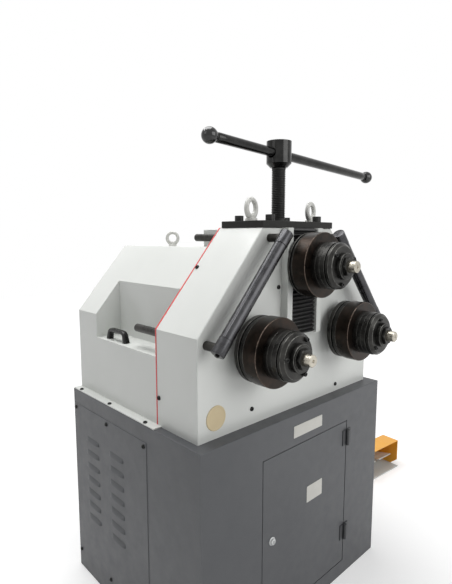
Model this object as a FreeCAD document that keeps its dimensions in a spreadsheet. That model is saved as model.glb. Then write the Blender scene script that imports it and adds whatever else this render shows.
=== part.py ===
import FreeCAD, Part
import Sketcher
import math
import os
import re

# Three-roll pipe bending machine. Origin on the floor under the middle of the cabinet,
# +X to the operator's right, +Y from the front face into the machine, +Z up. Millimetres.

# Driving sizes. Heights of the cabinet are above the floor, heights of the head are above the
# cabinet's deck, and depths of the head are behind its front face.
SIZES = {
    # Cabinet
    "cabinet_height": 750,
    "cabinet_wall": 5,
    "cabinet_round": 3,
    "floor_plate": 10,
    "deck_plate": 12,
    # Cabinet door
    "door_left": 223,
    "door_right": 251,
    "door_drop": 111,
    "door_bottom": 62,
    "door_gap": 3,
    "door_sheet": 3,
    "door_fold": 22,
    "lock_radius": 14,
    "lock_proud": 9,
    "lock_inset": 45,
    "hinge_height": 61,
    "hinge_drop": 33,
    "hinge_rise": 94,
    "hinge_leaf": 26,
    "hinge_leaf_sheet": 3,
    "hinge_barrel_radius": 7,
    "hinge_pin_radius": 3,
    "hinge_pin_gap": 0.05,
    "knuckle_gap": 0.5,
    # Louvred side panels
    "panel_sheet": 2,
    "panel_front": 217,
    "panel_rear_inset": 3,
    "panel_drop": 56,
    "panel_bottom": 60,
    "louvre_length": 92,
    "louvre_height": 16,
    "louvre_proud": 7,
    "louvre_sheet": 1.5,
    "louvre_pitch": 52,
    "louvre_rows": 7,
    "louvre_drop": 123,
    "louvre_front_inset": 189,
    "louvre_rear_inset": 144,
    # Machine head
    "head_setback": 48,
    "head_round": 4,
    "head_width": 900,
    "head_depth": 200,
    "shoulder_height": 309,
    "crown_width": 366,
    "slot_width": 134,
    "slot_wall": 18,
    "slot_bottom": 260,
    "rail_width": 25,
    "rail_gap": 5,
    "trim_width": 5,
    "trim_proud": 1,
    "plate_overhang": 2,
    "plate_setback": 12,
    "plate_thickness": 22,
    "plate_lip": 3,
    "plate_round": 1.5,
    "cap_radius": 38,
    "cap_thickness": 2.5,
    "cap_inset": 70,
    "cap_up": 63,
    # Rear cover
    "cover_length": 521,
    "cover_drop": 65,
    "cover_setback": 4,
    "recess_length": 380,
    "recess_floor": 222,
    "recess_depth": 100,
    "top_box_gap": 13,
    "top_box_depth": 148,
    "top_box_height": 62,
    "top_box_round": 2,
    "flange_width": 30,
    "flange_thickness": 4,
    "flange_lap": 25,
    # Bridge handles in the recesses
    "handle_inset": 28,
    "handle_back": 104,
    "handle_span": 104,
    "handle_leg": 24,
    "handle_width": 22,
    "handle_rise": 42,
    "handle_bar": 12,
    "handle_slope": 12,
    # Lifting eyes
    "eye_inset": 27,
    "eye_along": 74,
    "eye_angle": 12,
    "eye_ring": 28,
    "eye_section": 8,
    "eye_foot": 20,
    "eye_foot_height": 9,
    "rear_eye_back": 224,
    "rear_eye_angle": 43,
    "rear_eye_ring": 21,
    "rear_eye_section": 6,
    "rear_eye_foot": 15,
    "rear_eye_foot_height": 7,
    # Bolts of the top plate
    "bolt_inset": 60,
    "bolt_front_inset": 25,
    "bolt_rear_inset": 23,
    "bolt_head": 15,
    "bolt_head_height": 20,
    # Feed screw, its nut, hub and tommy bar
    "screw_along": 95,
    "screw_radius": 24,
    "screw_gap": 0.05,
    "screw_seat": 32,
    "screw_seat_gap": 0.3,
    "nut_flange": 8,
    "nut_flange_height": 11,
    "nut_wall": 6,
    "hub_radius": 43,
    "hub_below": 47,
    "hub_above": 41,
    "hub_chamfer": 14,
    "hub_bore": 14.6,
    "bar_rise": 231,
    "bar_radius": 12.5,
    "bar_left": 320,
    "bar_right": 608,
    "bar_tilt_angle": 2.3,
    "bar_turn_angle": 2.1,
    "knob_radius": 22.5,
    "knob_grip": 15,
    # Sliding block of the upper roll, and its bellows
    "upper_roll_height": 500,
    "block_height": 150,
    "block_sunk": 4,
    "block_rear_gap": 4,
    "block_top_room": 45,
    "slide_gap": 0.3,
    "lower_folds": 12,
    "upper_folds": 3,
    "bellows_fold": 12,
    "bellows_sheet": 2,
    "bellows_crest_ratio": 0.3,
    "bellows_gap": 0.5,
    # Rolls. Reach is from the front face of the head to the front of the main roll.
    "roll_radius": 106,
    "roll_width": 50,
    "roll_edge": 3,
    "lower_roll_height": 252,
    "lower_roll_inset": 221,
    "left_roll_reach": 113,
    "right_roll_reach": 119,
    "upper_roll_reach": 103,
    "journal_step": 3.5,
    "journal_gap": 0.05,
    "journal_wall": 30,
    "ring_gap": 0.05,
    "shaft_radius": 32.5,
    "backing_step": 2,
    "lower_backing": 18,
    "upper_backing": 10,
    "lower_shoulder": 4,
    "upper_shoulder": 27,
    "backing_groove": 5,
    "backing_groove_depth": 6,
    "spacer_radius": 75,
    "spacer_count": 3,
    "spacer_width": 16,
    "spacer_edge": 2,
    "collar_step": 2,
    "collar_width": 22,
    "collar_edge": 3,
    "boss_wall": 9.5,
    "boss_width": 14,
    "nut_flats": 55,
    "nut_width": 12,
    "stub_radius": 18,
    "stub_length": 24,
    "stub_edge": 2,
    "centre_radius": 5,
    "centre_depth": 12,
    # Guide bars on the front
    "guide_low_inset": 34.5,
    "guide_low_drop": 22.6,
    "guide_high_inset": 31.5,
    "guide_high_drop": 32.4,
    "guide_radius": 20,
    "guide_head_radius": 21,
    "guide_head": 50,
    "guide_overhang": 20,
    "guide_stand": 60,
    "guide_pin_radius": 13.5,
    "guide_pin_gap": 0.05,
    "guide_pin_tail": 165,
    # Foot switch
    "pedal_aside": 763,
    "pedal_y": -132,
    "pedal_angle": -5,
    "pedal_width": 300,
    "pedal_depth": 200,
    "pedal_plate": 6,
    "pedal_wall": 3,
    "hood_start": 8,
    "hood_height": 157,
    "hood_roof": 98,
    "hood_lift": 40,
    "hood_back": 60,
    "treadle_margin": 32,
    "treadle_length": 118,
    "treadle_thickness": 6,
    "treadle_pivot": 160,
    "treadle_pivot_up": 34,
    "treadle_pin": 4,
    "treadle_pin_gap": 0.05,
    "treadle_tube": 9,
    "treadle_angle": 14,
}

# Places worked out from the sizes and kept as formulas in the same sheet.
PLACES = {
    "cabinet_width": "head_width + 2 * flange_width",
    "cabinet_depth": "head_setback + head_depth + cover_length + cover_setback",
    "side_x": "cabinet_width / 2",
    "front_y": "-cabinet_depth / 2",
    "rear_y": "cabinet_depth / 2",
    "inner_top": "cabinet_height - deck_plate",
    "face_y": "front_y + head_setback",
    "cover_y": "face_y + head_depth",
    "door_top": "cabinet_height - door_drop",
    "hinge_x": "door_right + door_gap / 2",
    "hinge_y": "front_y - hinge_barrel_radius",
    "knuckle": "hinge_height / 3",
    "panel_rear": "rear_y - face_y - panel_rear_inset",
    "panel_top": "cabinet_height - panel_drop",
    "louvre_top": "panel_top - louvre_drop",
    "louvre_front_column": "panel_front + louvre_front_inset",
    "louvre_rear_column": "panel_rear - louvre_rear_inset",
    "block_bottom": "upper_roll_height - block_height / 2",
    "block_top": "upper_roll_height + block_height / 2",
    "block_width": "slot_width - 2 * slide_gap",
    "slot_depth": "head_depth - slot_wall",
    "block_rear": "slot_depth - block_rear_gap",
    "head_height": "block_top + block_top_room",
    "shoulder_run": "(head_width - crown_width) / 2",
    "shoulder_rise": "head_height - shoulder_height",
    "plate_top": "head_height + plate_thickness",
    "plate_width": "crown_width + 2 * plate_overhang",
    "plate_depth": "head_depth - plate_setback",
    "rail_thickness": "upper_roll_reach - roll_width - 2 * upper_backing - rail_gap",
    "block_proud": "rail_thickness - block_sunk",
    "cover_height": "head_height - cover_drop",
    "cover_crown": "head_width / 2 - (cover_height - shoulder_height) * shoulder_run / shoulder_rise",
    "recess_wall": "head_width / 2 - recess_depth",
    "handle_across": "head_width / 2 - handle_inset",
    "handle_along": "head_depth + recess_length - handle_back",
    "eye_across": "plate_width / 2 - eye_inset",
    "rear_eye_along": "head_depth + cover_length - rear_eye_back",
    "bolt_across": "plate_width / 2 - bolt_inset",
    "bolt_front": "bolt_front_inset - plate_lip",
    "bolt_rear": "plate_depth - plate_lip - bolt_rear_inset",
    "nut_sleeve": "screw_radius + nut_wall",
    "bar_height": "plate_top + bar_rise",
    "hub_bottom": "bar_height - hub_below",
    "hub_top": "bar_height + hub_above",
    "lower_roll_across": "head_width / 2 - lower_roll_inset",
    "journal_radius": "shaft_radius + journal_step",
    "journal_length": "head_depth - journal_wall",
    "backing_radius": "roll_radius - backing_step",
    "stack_length": "spacer_count * spacer_width",
    "collar_radius": "spacer_radius - collar_step",
    "boss_radius": "shaft_radius + boss_wall",
    "guide_low_across": "head_width / 2 - guide_low_inset",
    "guide_low_up": "shoulder_height - guide_low_drop",
    "guide_high_across": "crown_width / 2 - guide_high_inset",
    "guide_high_up": "head_height - guide_high_drop",
    "guide_run": "guide_low_across - guide_high_across",
    "guide_rise": "guide_high_up - guide_low_up",
    "guide_span": "sqrt(guide_run * guide_run + guide_rise * guide_rise)",
    "guide_lean": "atan(guide_run / guide_rise)",
    "top_box_half": "guide_high_across - guide_pin_radius - top_box_gap",
    "treadle_width": "pedal_width / 2 - treadle_margin",
}

doc = FreeCAD.newDocument("PipeBendingMachine")
sheet = doc.addObject("Spreadsheet::Sheet", "Sizes")
for row, (alias, content) in enumerate({**SIZES, **PLACES}.items(), start=1):
    sheet.set(f"A{row}", alias)
    sheet.set(f"B{row}", str(content) if alias in SIZES else "=" + content)
    sheet.setAlias(f"B{row}", alias)
doc.recompute()


def formula(text):
    """Turn the size names in a text into references to the sheet."""
    known = SIZES.keys() | PLACES.keys()
    return re.sub(r"[a-z_]+", lambda word: "Sizes." * (word.group() in known) + word.group(), text)


def bind(thing, prop, text):
    thing.setExpression(prop, formula(text))


pieces = {}


def place(thing, x="0", y="0", z="0", turn="0", tilt="0", lean="0"):
    """Placement from formulas: turn about Z, tilt about Y, lean about X, in degrees."""
    bind(thing, "Placement", f"placement(vector({x}; {y}; {z}); rotation({turn}; {tilt}; {lean}))")


def new_body(label, x="0", y="0", z="0", turn="0", tilt="0", lean="0"):
    body = doc.addObject("PartDesign::Body", label)
    body.Label = label
    pieces[label] = body
    place(body, x, y, z, turn, tilt, lean)
    return body


# The origin planes by the axis that they face. XZ faces -Y, so depths along Y change sign on it.
PLANES = {"Z": ("XY_Plane", 1), "Y": ("XZ_Plane", -1), "X": ("YZ_Plane", 1)}


def new_sketch(body, axis, at):
    """A sketch across an axis of the body, at a distance along it."""
    role, sign = PLANES[axis]
    sketch = body.newObject("Sketcher::SketchObject", f"{body.Label}_sketch")
    plane = [datum for datum in body.Origin.OriginFeatures if datum.Role == role][0]
    sketch.AttachmentSupport = [(plane, "")]
    sketch.MapMode = "FlatFace"
    bind(sketch, "AttachmentOffset.Base.z", at if sign > 0 else f"-({at})")
    return sketch


def tie(sketch, kind, geometry, text, start, end=None):
    """Bind a length of a sketch to a formula."""
    ends = (-1, 1, geometry, end) if end else (geometry,)
    index = sketch.addConstraint(Sketcher.Constraint(kind, *ends, start))
    sketch.setExpression(f"Constraints[{index}]", formula(text))


def outline(body, axis, points, at="0"):
    """A closed outline of straight lines. Each point is a pair of formulas."""
    sketch = new_sketch(body, axis, at)
    count = len(points)
    steps = [2 * math.pi * i / count for i in range(count)]
    drawn = [FreeCAD.Vector(math.cos(step), math.sin(step), 0) for step in steps]
    for i in range(count):
        sketch.addGeometry(Part.LineSegment(drawn[i], drawn[(i + 1) % count]), False)
    for i in range(count):
        sketch.addConstraint(Sketcher.Constraint("Coincident", i, 2, (i + 1) % count, 1))
        tie(sketch, "DistanceX", i, points[i][0], drawn[i].x, 1)
        tie(sketch, "DistanceY", i, points[i][1], drawn[i].y, 1)
    return sketch


def rectangle(body, axis, low, high, at="0"):
    corners = [(low[0], low[1]), (high[0], low[1]), (high[0], high[1]), (low[0], high[1])]
    return outline(body, axis, corners, at)


def circles(body, axis, rounds, at="0"):
    """Circles, each given by formulas for its centre and radius."""
    sketch = new_sketch(body, axis, at)
    for i, (across, up, radius) in enumerate(rounds):
        centre = FreeCAD.Vector(i, 0, 0)
        sketch.addGeometry(Part.Circle(centre, FreeCAD.Vector(0, 0, 1), 1), False)
        tie(sketch, "DistanceX", i, across, centre.x, 3)
        tie(sketch, "DistanceY", i, up, centre.y, 3)
        tie(sketch, "Radius", i, radius, 1)
    return sketch


def extrude(kind, sketch, length, backward=False):
    """A Pad or Pocket along the positive axis that the sketch lies across, or backward."""
    body = sketch.getParentGeoFeatureGroup()
    facing = dict(PLANES.values())[sketch.AttachmentSupport[0][0].Role]
    item = body.newObject("PartDesign::" + kind, f"{body.Label}_{kind.lower()}")
    item.Profile = sketch
    own_way = facing if kind == "Pad" else -facing
    item.Reversed = (own_way > 0) == backward
    bind(item, "Length", length)
    return item


def pad(sketch, length, backward=False):
    return extrude("Pad", sketch, length, backward)


def pocket(sketch, length, backward=False):
    return extrude("Pocket", sketch, length, backward)


def revolve(sketch, axis, kind="Revolution"):
    body = sketch.getParentGeoFeatureGroup()
    item = body.newObject("PartDesign::" + kind, f"{body.Label}_{kind.lower()}")
    item.Profile = sketch
    item.ReferenceAxis = (sketch, [axis])
    item.Angle = 360
    return item


def soften(body, radius, limit, barred=None):
    """Round the edges in one limiting plane of the body's newest solid, but none in the barred plane."""
    doc.recompute()
    solid = body.Tip

    def lies_in(edge, plane):
        level, direction = getattr(solid.Shape.BoundBox, plane), plane[0]
        reach = getattr(edge.BoundBox, direction + "Min"), getattr(edge.BoundBox, direction + "Max")
        return max(abs(end - level) for end in reach) < solid.Shape.BoundBox.DiagonalLength / 1e4

    names = [f"Edge{i}" for i, edge in enumerate(solid.Shape.Edges, start=1)
             if lies_in(edge, limit) and not (barred and lies_in(edge, barred))]
    item = body.newObject("PartDesign::Fillet", f"{body.Label}_fillet")
    item.Base = (solid, names)
    bind(item, "Radius", radius)


def block(label, low, high):
    """A plain rectangular plate between two corners."""
    body = new_body(label)
    pad(rectangle(body, "Z", low[:2], high[:2], low[2]), f"({high[2]}) - ({low[2]})")
    return body


def cabinet():
    """Sheet-steel stand: base plate, walls with a door opening, and the deck that carries the head."""
    wall_front, wall_rear = "front_y + cabinet_wall", "rear_y - cabinet_wall"
    left_jamb, right_jamb = "-door_left - door_gap", "door_right + door_gap"
    head_of_door, sill = "door_top + door_gap", "door_bottom - door_gap"
    block("cabinet_floor", ("-side_x", "front_y", "0"), ("side_x", "rear_y", "floor_plate"))
    deck = block("cabinet_deck", ("-side_x", "front_y", "inner_top"), ("side_x", "rear_y", "cabinet_height"))
    soften(deck, "cabinet_round", "ZMax")
    block("cabinet_left_side", ("-side_x", wall_front, "floor_plate"),
          ("cabinet_wall - side_x", wall_rear, "inner_top"))
    block("cabinet_right_side", ("side_x - cabinet_wall", wall_front, "floor_plate"),
          ("side_x", wall_rear, "inner_top"))
    block("cabinet_back", ("-side_x", wall_rear, "floor_plate"), ("side_x", "rear_y", "inner_top"))
    stiles = new_body("cabinet_front_stiles")
    for inner, outer in ((left_jamb, "-side_x"), (right_jamb, "side_x")):
        pad(rectangle(stiles, "Z", (inner, "front_y"), (outer, wall_front), "floor_plate"),
            "inner_top - floor_plate")
    block("cabinet_front_top", (left_jamb, "front_y", head_of_door), (right_jamb, wall_front, "inner_top"))
    block("cabinet_front_sill", (left_jamb, "front_y", "floor_plate"), (right_jamb, wall_front, sill))


def cabinet_door():
    """Folded sheet door set flush in its opening, with a round lock at its free edge."""
    body = new_body("cabinet_door", y="front_y")
    pad(rectangle(body, "Y", ("-door_left", "door_bottom"), ("door_right", "door_top")), "door_fold")
    tray = rectangle(body, "Y", ("door_sheet - door_left", "door_bottom + door_sheet"),
                     ("door_right - door_sheet", "door_top - door_sheet"), "door_sheet")
    pocket(tray, "door_fold")
    lock = new_body("door_lock", x="lock_inset - door_left", y="front_y", z="(door_top + door_bottom) / 2")
    pad(circles(lock, "Y", [("0", "0", "lock_radius")]), "lock_proud", backward=True)


def door_hinges():
    """Two butt hinges on the front: outer knuckles and pin stay, middle knuckles go with the door."""
    fixed = new_body("door_hinge_fixed", "hinge_x", "hinge_y")
    moving = new_body("door_hinge_moving", "hinge_x", "hinge_y")
    leaf_y = "hinge_barrel_radius - hinge_leaf_sheet"
    barrel, pin = ("0", "0", "hinge_barrel_radius"), ("0", "0", "hinge_pin_radius")
    bore = ("0", "0", "hinge_pin_radius + hinge_pin_gap")
    levels = "door_top - hinge_drop - hinge_height", "door_bottom + hinge_rise"
    for base in levels:
        outer = rectangle(fixed, "Z", ("door_gap / 2", leaf_y), ("hinge_leaf", "hinge_barrel_radius"), base)
        pad(outer, "hinge_height")
        inner = rectangle(moving, "Z", ("-hinge_leaf", leaf_y), ("-door_gap / 2", "hinge_barrel_radius"),
                          base)
        pad(inner, "hinge_height")
    for base in levels:
        room = rectangle(fixed, "Z", ("-hinge_barrel_radius", "-hinge_barrel_radius"),
                         ("hinge_barrel_radius + knuckle_gap", "hinge_barrel_radius"), f"{base} + knuckle")
        pocket(room, "knuckle")
        for start in (base, f"{base} + 2 * knuckle"):
            pad(circles(fixed, "Z", [barrel], start), "knuckle")
            clear = rectangle(moving, "Z", ("-hinge_barrel_radius - knuckle_gap", "-hinge_barrel_radius"),
                              ("hinge_barrel_radius", "hinge_barrel_radius"), f"{start} - knuckle_gap")
            pocket(clear, "knuckle + 2 * knuckle_gap")
        pad(circles(fixed, "Z", [pin], base), "hinge_height")
        middle = circles(moving, "Z", [barrel], f"{base} + knuckle + knuckle_gap")
        pad(middle, "knuckle - 2 * knuckle_gap")
        pocket(circles(moving, "Z", [bore], base), "hinge_height")


def louvre_panel(side, sign):
    """Access panel with two columns of pressed louvres, open along their lower edge."""
    body = new_body(f"louvre_panel_{side}", x=f"{sign}side_x", y="face_y")
    outward = sign == ""
    sheet_outline = rectangle(body, "X", ("panel_front", "panel_bottom"), ("panel_rear", "panel_top"))
    pad(sheet_outline, "panel_sheet", backward=not outward)
    tip = f"{sign}(panel_sheet + louvre_proud)"
    skin = f"{sign}panel_sheet"
    lip = f"{sign}(panel_sheet + louvre_proud - louvre_sheet)"
    for column in ("louvre_front_column", "louvre_rear_column"):
        for level in range(SIZES["louvre_rows"]):
            foot = f"louvre_top - {level} * louvre_pitch"
            hood = [(skin, f"{foot} + louvre_height"), (skin, f"{foot} + louvre_height - louvre_sheet"),
                    (lip, foot), (tip, foot)]
            start = f"{column} - louvre_length / 2"
            pad(outline(body, "Y", hood, start), "louvre_length")
    return body


def head_outline(body, top_half, top, grow="0", at="0", foot="0"):
    """Upright sides and slanted shoulders of the head, as seen from the front."""
    half = f"head_width / 2 + {grow}"
    corners = [(f"-({half})", foot), (half, foot), (half, f"shoulder_height + {grow} / 2"),
               (f"{top_half} + {grow} / 2", f"{top} + {grow}"),
               (f"-({top_half}) - {grow} / 2", f"{top} + {grow}"),
               (f"-({half})", f"shoulder_height + {grow} / 2")]
    return outline(body, "Y", corners, at)


def head():
    """Front housing with the slide's slot, its rails, trim, top plate, nut and bolts."""
    housing = new_body("front_housing", y="face_y", z="cabinet_height")
    pad(head_outline(housing, "crown_width / 2", "head_height"), "head_depth")
    soften(housing, "head_round", "YMin", "ZMin")
    slot = rectangle(housing, "Y", ("-slot_width / 2", "slot_bottom"), ("slot_width / 2", "head_height"))
    pocket(slot, "slot_depth")
    bores = [(f"{sign}lower_roll_across", "lower_roll_height", "journal_radius + journal_gap")
             for sign in ("-", "")]
    pocket(circles(housing, "Y", bores), "journal_length + slide_gap")
    pin_holes = [(f"{sign}guide_{end}_across", f"guide_{end}_up", "guide_pin_radius + guide_pin_gap")
                 for sign in ("-", "") for end in ("low", "high")]
    pocket(circles(housing, "Y", pin_holes), "head_depth")

    rails = new_body("slide_rails", y="face_y", z="cabinet_height")
    for sign in ("-", ""):
        inner, outer = f"{sign}slot_width / 2", f"{sign}(slot_width / 2 + rail_width)"
        face = rectangle(rails, "Y", (inner, "slot_bottom"), (outer, "head_height"), "-rail_thickness")
        pad(face, "rail_thickness")

    trim = new_body("seam_trim", y="cover_y", z="cabinet_height")
    pad(head_outline(trim, "crown_width / 2", "head_height", "trim_proud", "-trim_width", "flange_thickness"),
        "trim_width")
    pocket(head_outline(trim, "crown_width / 2", "head_height", at="-trim_width"), "trim_width")

    plate = new_body("top_plate", y="face_y", z="cabinet_height")
    pad(rectangle(plate, "Z", ("-plate_width / 2", "-plate_lip"),
                  ("plate_width / 2", "plate_depth - plate_lip"), "head_height"), "plate_thickness")
    soften(plate, "plate_round", "ZMax")
    pocket(circles(plate, "Z", [("0", "screw_along", "nut_sleeve + ring_gap")], "head_height"),
           "plate_thickness")

    nut = new_body("screw_nut", y="face_y + screw_along", z="cabinet_height")
    half_profile = [("screw_radius + screw_gap", "head_height"), ("nut_sleeve", "head_height"),
                    ("nut_sleeve", "plate_top"), ("screw_radius + nut_flange", "plate_top"),
                    ("screw_radius + nut_flange", "plate_top + nut_flange_height"),
                    ("screw_radius + screw_gap", "plate_top + nut_flange_height")]
    revolve(outline(nut, "Y", half_profile), "V_Axis")

    bolts = new_body("plate_bolts", y="face_y", z="cabinet_height")
    corners = [(f"{sign}bolt_across", along) for sign in ("-", "") for along in ("bolt_front", "bolt_rear")]
    pad(circles(bolts, "Z", [(x, y, "bolt_head") for x, y in corners], "plate_top"), "bolt_head_height")

    cap = new_body("inspection_cap", x="cap_inset - head_width / 2", y="face_y", z="cabinet_height + cap_up")
    pad(circles(cap, "Y", [("0", "0", "cap_radius")]), "cap_thickness", backward=True)


def rear_cover():
    """Sheet cover behind the head, with a deep recess on each side, the box on top and the foot strips."""
    cover = new_body("rear_cover", y="cover_y", z="cabinet_height")
    pad(head_outline(cover, "cover_crown", "cover_height"), "cover_length")
    soften(cover, "head_round", "YMax", "ZMin")
    for sign in ("-", ""):
        notch = rectangle(cover, "Y", (f"{sign}recess_wall", "recess_floor"),
                          (f"{sign}head_width / 2", "cover_height"))
        pocket(notch, "recess_length")
    box = new_body("rear_top_box", y="cover_y", z="cabinet_height + cover_height")
    pad(rectangle(box, "Z", ("-top_box_half", "0"), ("top_box_half", "top_box_depth")), "top_box_height")
    soften(box, "top_box_round", "ZMax")
    strips = new_body("foot_strips", y="face_y", z="cabinet_height")
    for sign in ("-", ""):
        inner, outer = f"{sign}head_width / 2", f"{sign}(head_width / 2 + flange_width)"
        pad(rectangle(strips, "Z", (inner, "head_depth - flange_lap"), (outer, "head_depth + cover_length")),
            "flange_thickness")


def bridge_handles():
    """A bridge handle with tapered legs along the floor of each recess."""
    handles = new_body("bridge_handles", y="face_y + handle_along", z="cabinet_height + recess_floor")
    half, inner = "(handle_span + handle_leg) / 2", "(handle_span - handle_leg) / 2"
    underside = "handle_rise - handle_bar"
    side_view = [(f"-{half}", "0"), (f"-{inner}", "0"), (f"handle_slope / 2 - {inner}", underside),
                 (f"{inner} - handle_slope / 2", underside), (inner, "0"), (half, "0"),
                 (f"{half} - handle_slope", "handle_rise"), (f"handle_slope - {half}", "handle_rise")]
    for sign in ("-", ""):
        pad(outline(handles, "X", side_view, f"{sign}handle_across - handle_width / 2"), "handle_width")


def join(kind, label, base, tool, **where):
    """A Fuse or Cut of two solids, standing at its own place."""
    joined = doc.addObject("Part::" + kind, label)
    joined.Base, joined.Tool = base, tool
    place(joined, **where)
    return joined


def primitive(kind, label, lengths, **where):
    """A round primitive with its lengths bound to formulas."""
    thing = doc.addObject("Part::" + kind, label)
    for prop, text in lengths.items():
        bind(thing, prop, text)
    place(thing, **where)
    return thing


def gather(label, things):
    """Like pieces on one body share a node, as separate solids."""
    group = doc.addObject("Part::Compound", label)
    group.Links = things
    pieces[label] = group


def lifting_eyes(label, kind, along, up, turns):
    """A pair of eye bolts, each a round foot with an upright ring on it."""
    eyes = []
    for sign, turn in zip(("-", ""), turns):
        foot = primitive("Cylinder", f"{label}_foot",
                         {"Radius": f"{kind}_foot", "Height": f"{kind}_foot_height"})
        ring = primitive("Torus", f"{label}_ring", {"Radius1": f"{kind}_ring", "Radius2": f"{kind}_section"},
                         z=f"{kind}_foot_height / 2 + {kind}_ring + {kind}_section", lean="90")
        eyes.append(join("Fuse", f"{label}_bolt", foot, ring, x=f"{sign}eye_across", y=f"face_y + {along}",
                         z=f"cabinet_height + {up}", turn=turn))
    gather(label, eyes)


def roll(side, across, reach, level):
    """One roll's stack from the face outward: backing rings, main roll, spacers, collar and nut."""
    height, backing, shoulder = f"{level}_roll_height", f"{level}_backing", f"-{level}_shoulder"
    where = dict(x=across, y="face_y", z=f"cabinet_height + {height}")
    bore = "shaft_radius + ring_gap"
    roll_rear = f"roll_width - {reach}"
    stack_front = f"-{reach} - stack_length"
    collar_front = f"{stack_front} - collar_width"
    boss_front = f"{collar_front} - boss_width"
    nut_front = f"{boss_front} - nut_width"
    stub_front = f"{nut_front} - stub_length"

    shaft = new_body(f"{side}_roll_shaft", **where)
    profile = [("journal_length", "0"), ("journal_length", "journal_radius"), (shoulder, "journal_radius"),
               (shoulder, "shaft_radius"), (boss_front, "shaft_radius"), (boss_front, "stub_radius"),
               (f"{stub_front} + stub_edge", "stub_radius"), (stub_front, "stub_radius - stub_edge"),
               (stub_front, "centre_radius"), (f"{stub_front} + centre_depth", "0")]
    revolve(outline(shaft, "X", profile), "H_Axis")

    main = new_body(f"{side}_main_roll", **where)
    profile = [(roll_rear, bore), (roll_rear, "roll_radius - roll_edge"),
               (f"{roll_rear} - roll_edge", "roll_radius"), (f"roll_edge - {reach}", "roll_radius"),
               (f"-{reach}", "roll_radius - roll_edge"),
               (f"-{reach}", bore)]
    revolve(outline(main, "X", profile), "H_Axis")

    rings = new_body(f"{side}_ring_set", **where)
    middle = f"{roll_rear} + {backing}"
    profile = [(roll_rear, bore), (roll_rear, "backing_radius"),
               (f"{middle} - backing_groove / 2", "backing_radius"),
               (f"{middle} - backing_groove / 2", "backing_radius - backing_groove_depth"),
               (f"{middle} + backing_groove / 2", "backing_radius - backing_groove_depth"),
               (f"{middle} + backing_groove / 2", "backing_radius"),
               (f"{middle} + {backing}", "backing_radius"), (f"{middle} + {backing}", bore)]
    revolve(outline(rings, "X", profile), "H_Axis")
    profile = [(f"-{reach}", bore)]
    for ring in range(SIZES["spacer_count"]):
        start = f"-{reach} - {ring} * spacer_width"
        profile += [(start, "spacer_radius - spacer_edge"), (f"{start} - spacer_edge", "spacer_radius"),
                    (f"{start} - spacer_width + spacer_edge", "spacer_radius")]
    profile += [(stack_front, "spacer_radius - spacer_edge"), (stack_front, bore)]
    revolve(outline(rings, "X", profile), "H_Axis")

    collar = new_body(f"{side}_lock_collar", **where)
    profile = [(stack_front, bore), (stack_front, "collar_radius"),
               (f"{collar_front} + collar_edge", "collar_radius"),
               (collar_front, "collar_radius - collar_edge"), (collar_front, bore)]
    revolve(outline(collar, "X", profile), "H_Axis")

    nut = new_body(f"{side}_shaft_nut", **where)
    pad(circles(nut, "Y", [("0", "0", "boss_radius")], boss_front), "boss_width")
    corner = "nut_flats / sqrt(3)"
    hexagon = [(f"{corner} * cos({60 * i})", f"{corner} * sin({60 * i})") for i in range(6)]
    pad(outline(nut, "Y", hexagon, nut_front), "nut_width")
    pocket(circles(nut, "Y", [("0", "0", bore)], boss_front), "boss_width")
    pocket(circles(nut, "Y", [("0", "0", "stub_radius + ring_gap")], nut_front), "nut_width")


def folded_sheet(label, bottom, top, folds):
    """Pleats of folded sheet between two heights, across the slot, each with a flat crest."""
    body = new_body(label, y="face_y", z="cabinet_height")
    pleat = f"(({top}) - ({bottom})) / {folds}"
    front, valley = "-block_proud", "bellows_fold - block_proud"
    outer = [(valley, bottom)]
    for i in range(folds):
        outer += [(front, f"{bottom} + ({i + 0.5} - bellows_crest_ratio / 2) * {pleat}"),
                  (front, f"{bottom} + ({i + 0.5} + bellows_crest_ratio / 2) * {pleat}"),
                  (valley, f"{bottom} + {i + 1} * {pleat}")]
    inner = [(f"{depth} + bellows_sheet", height) for depth, height in reversed(outer)]
    pad(outline(body, "X", outer + inner, "-block_width / 2"), "block_width")


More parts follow.
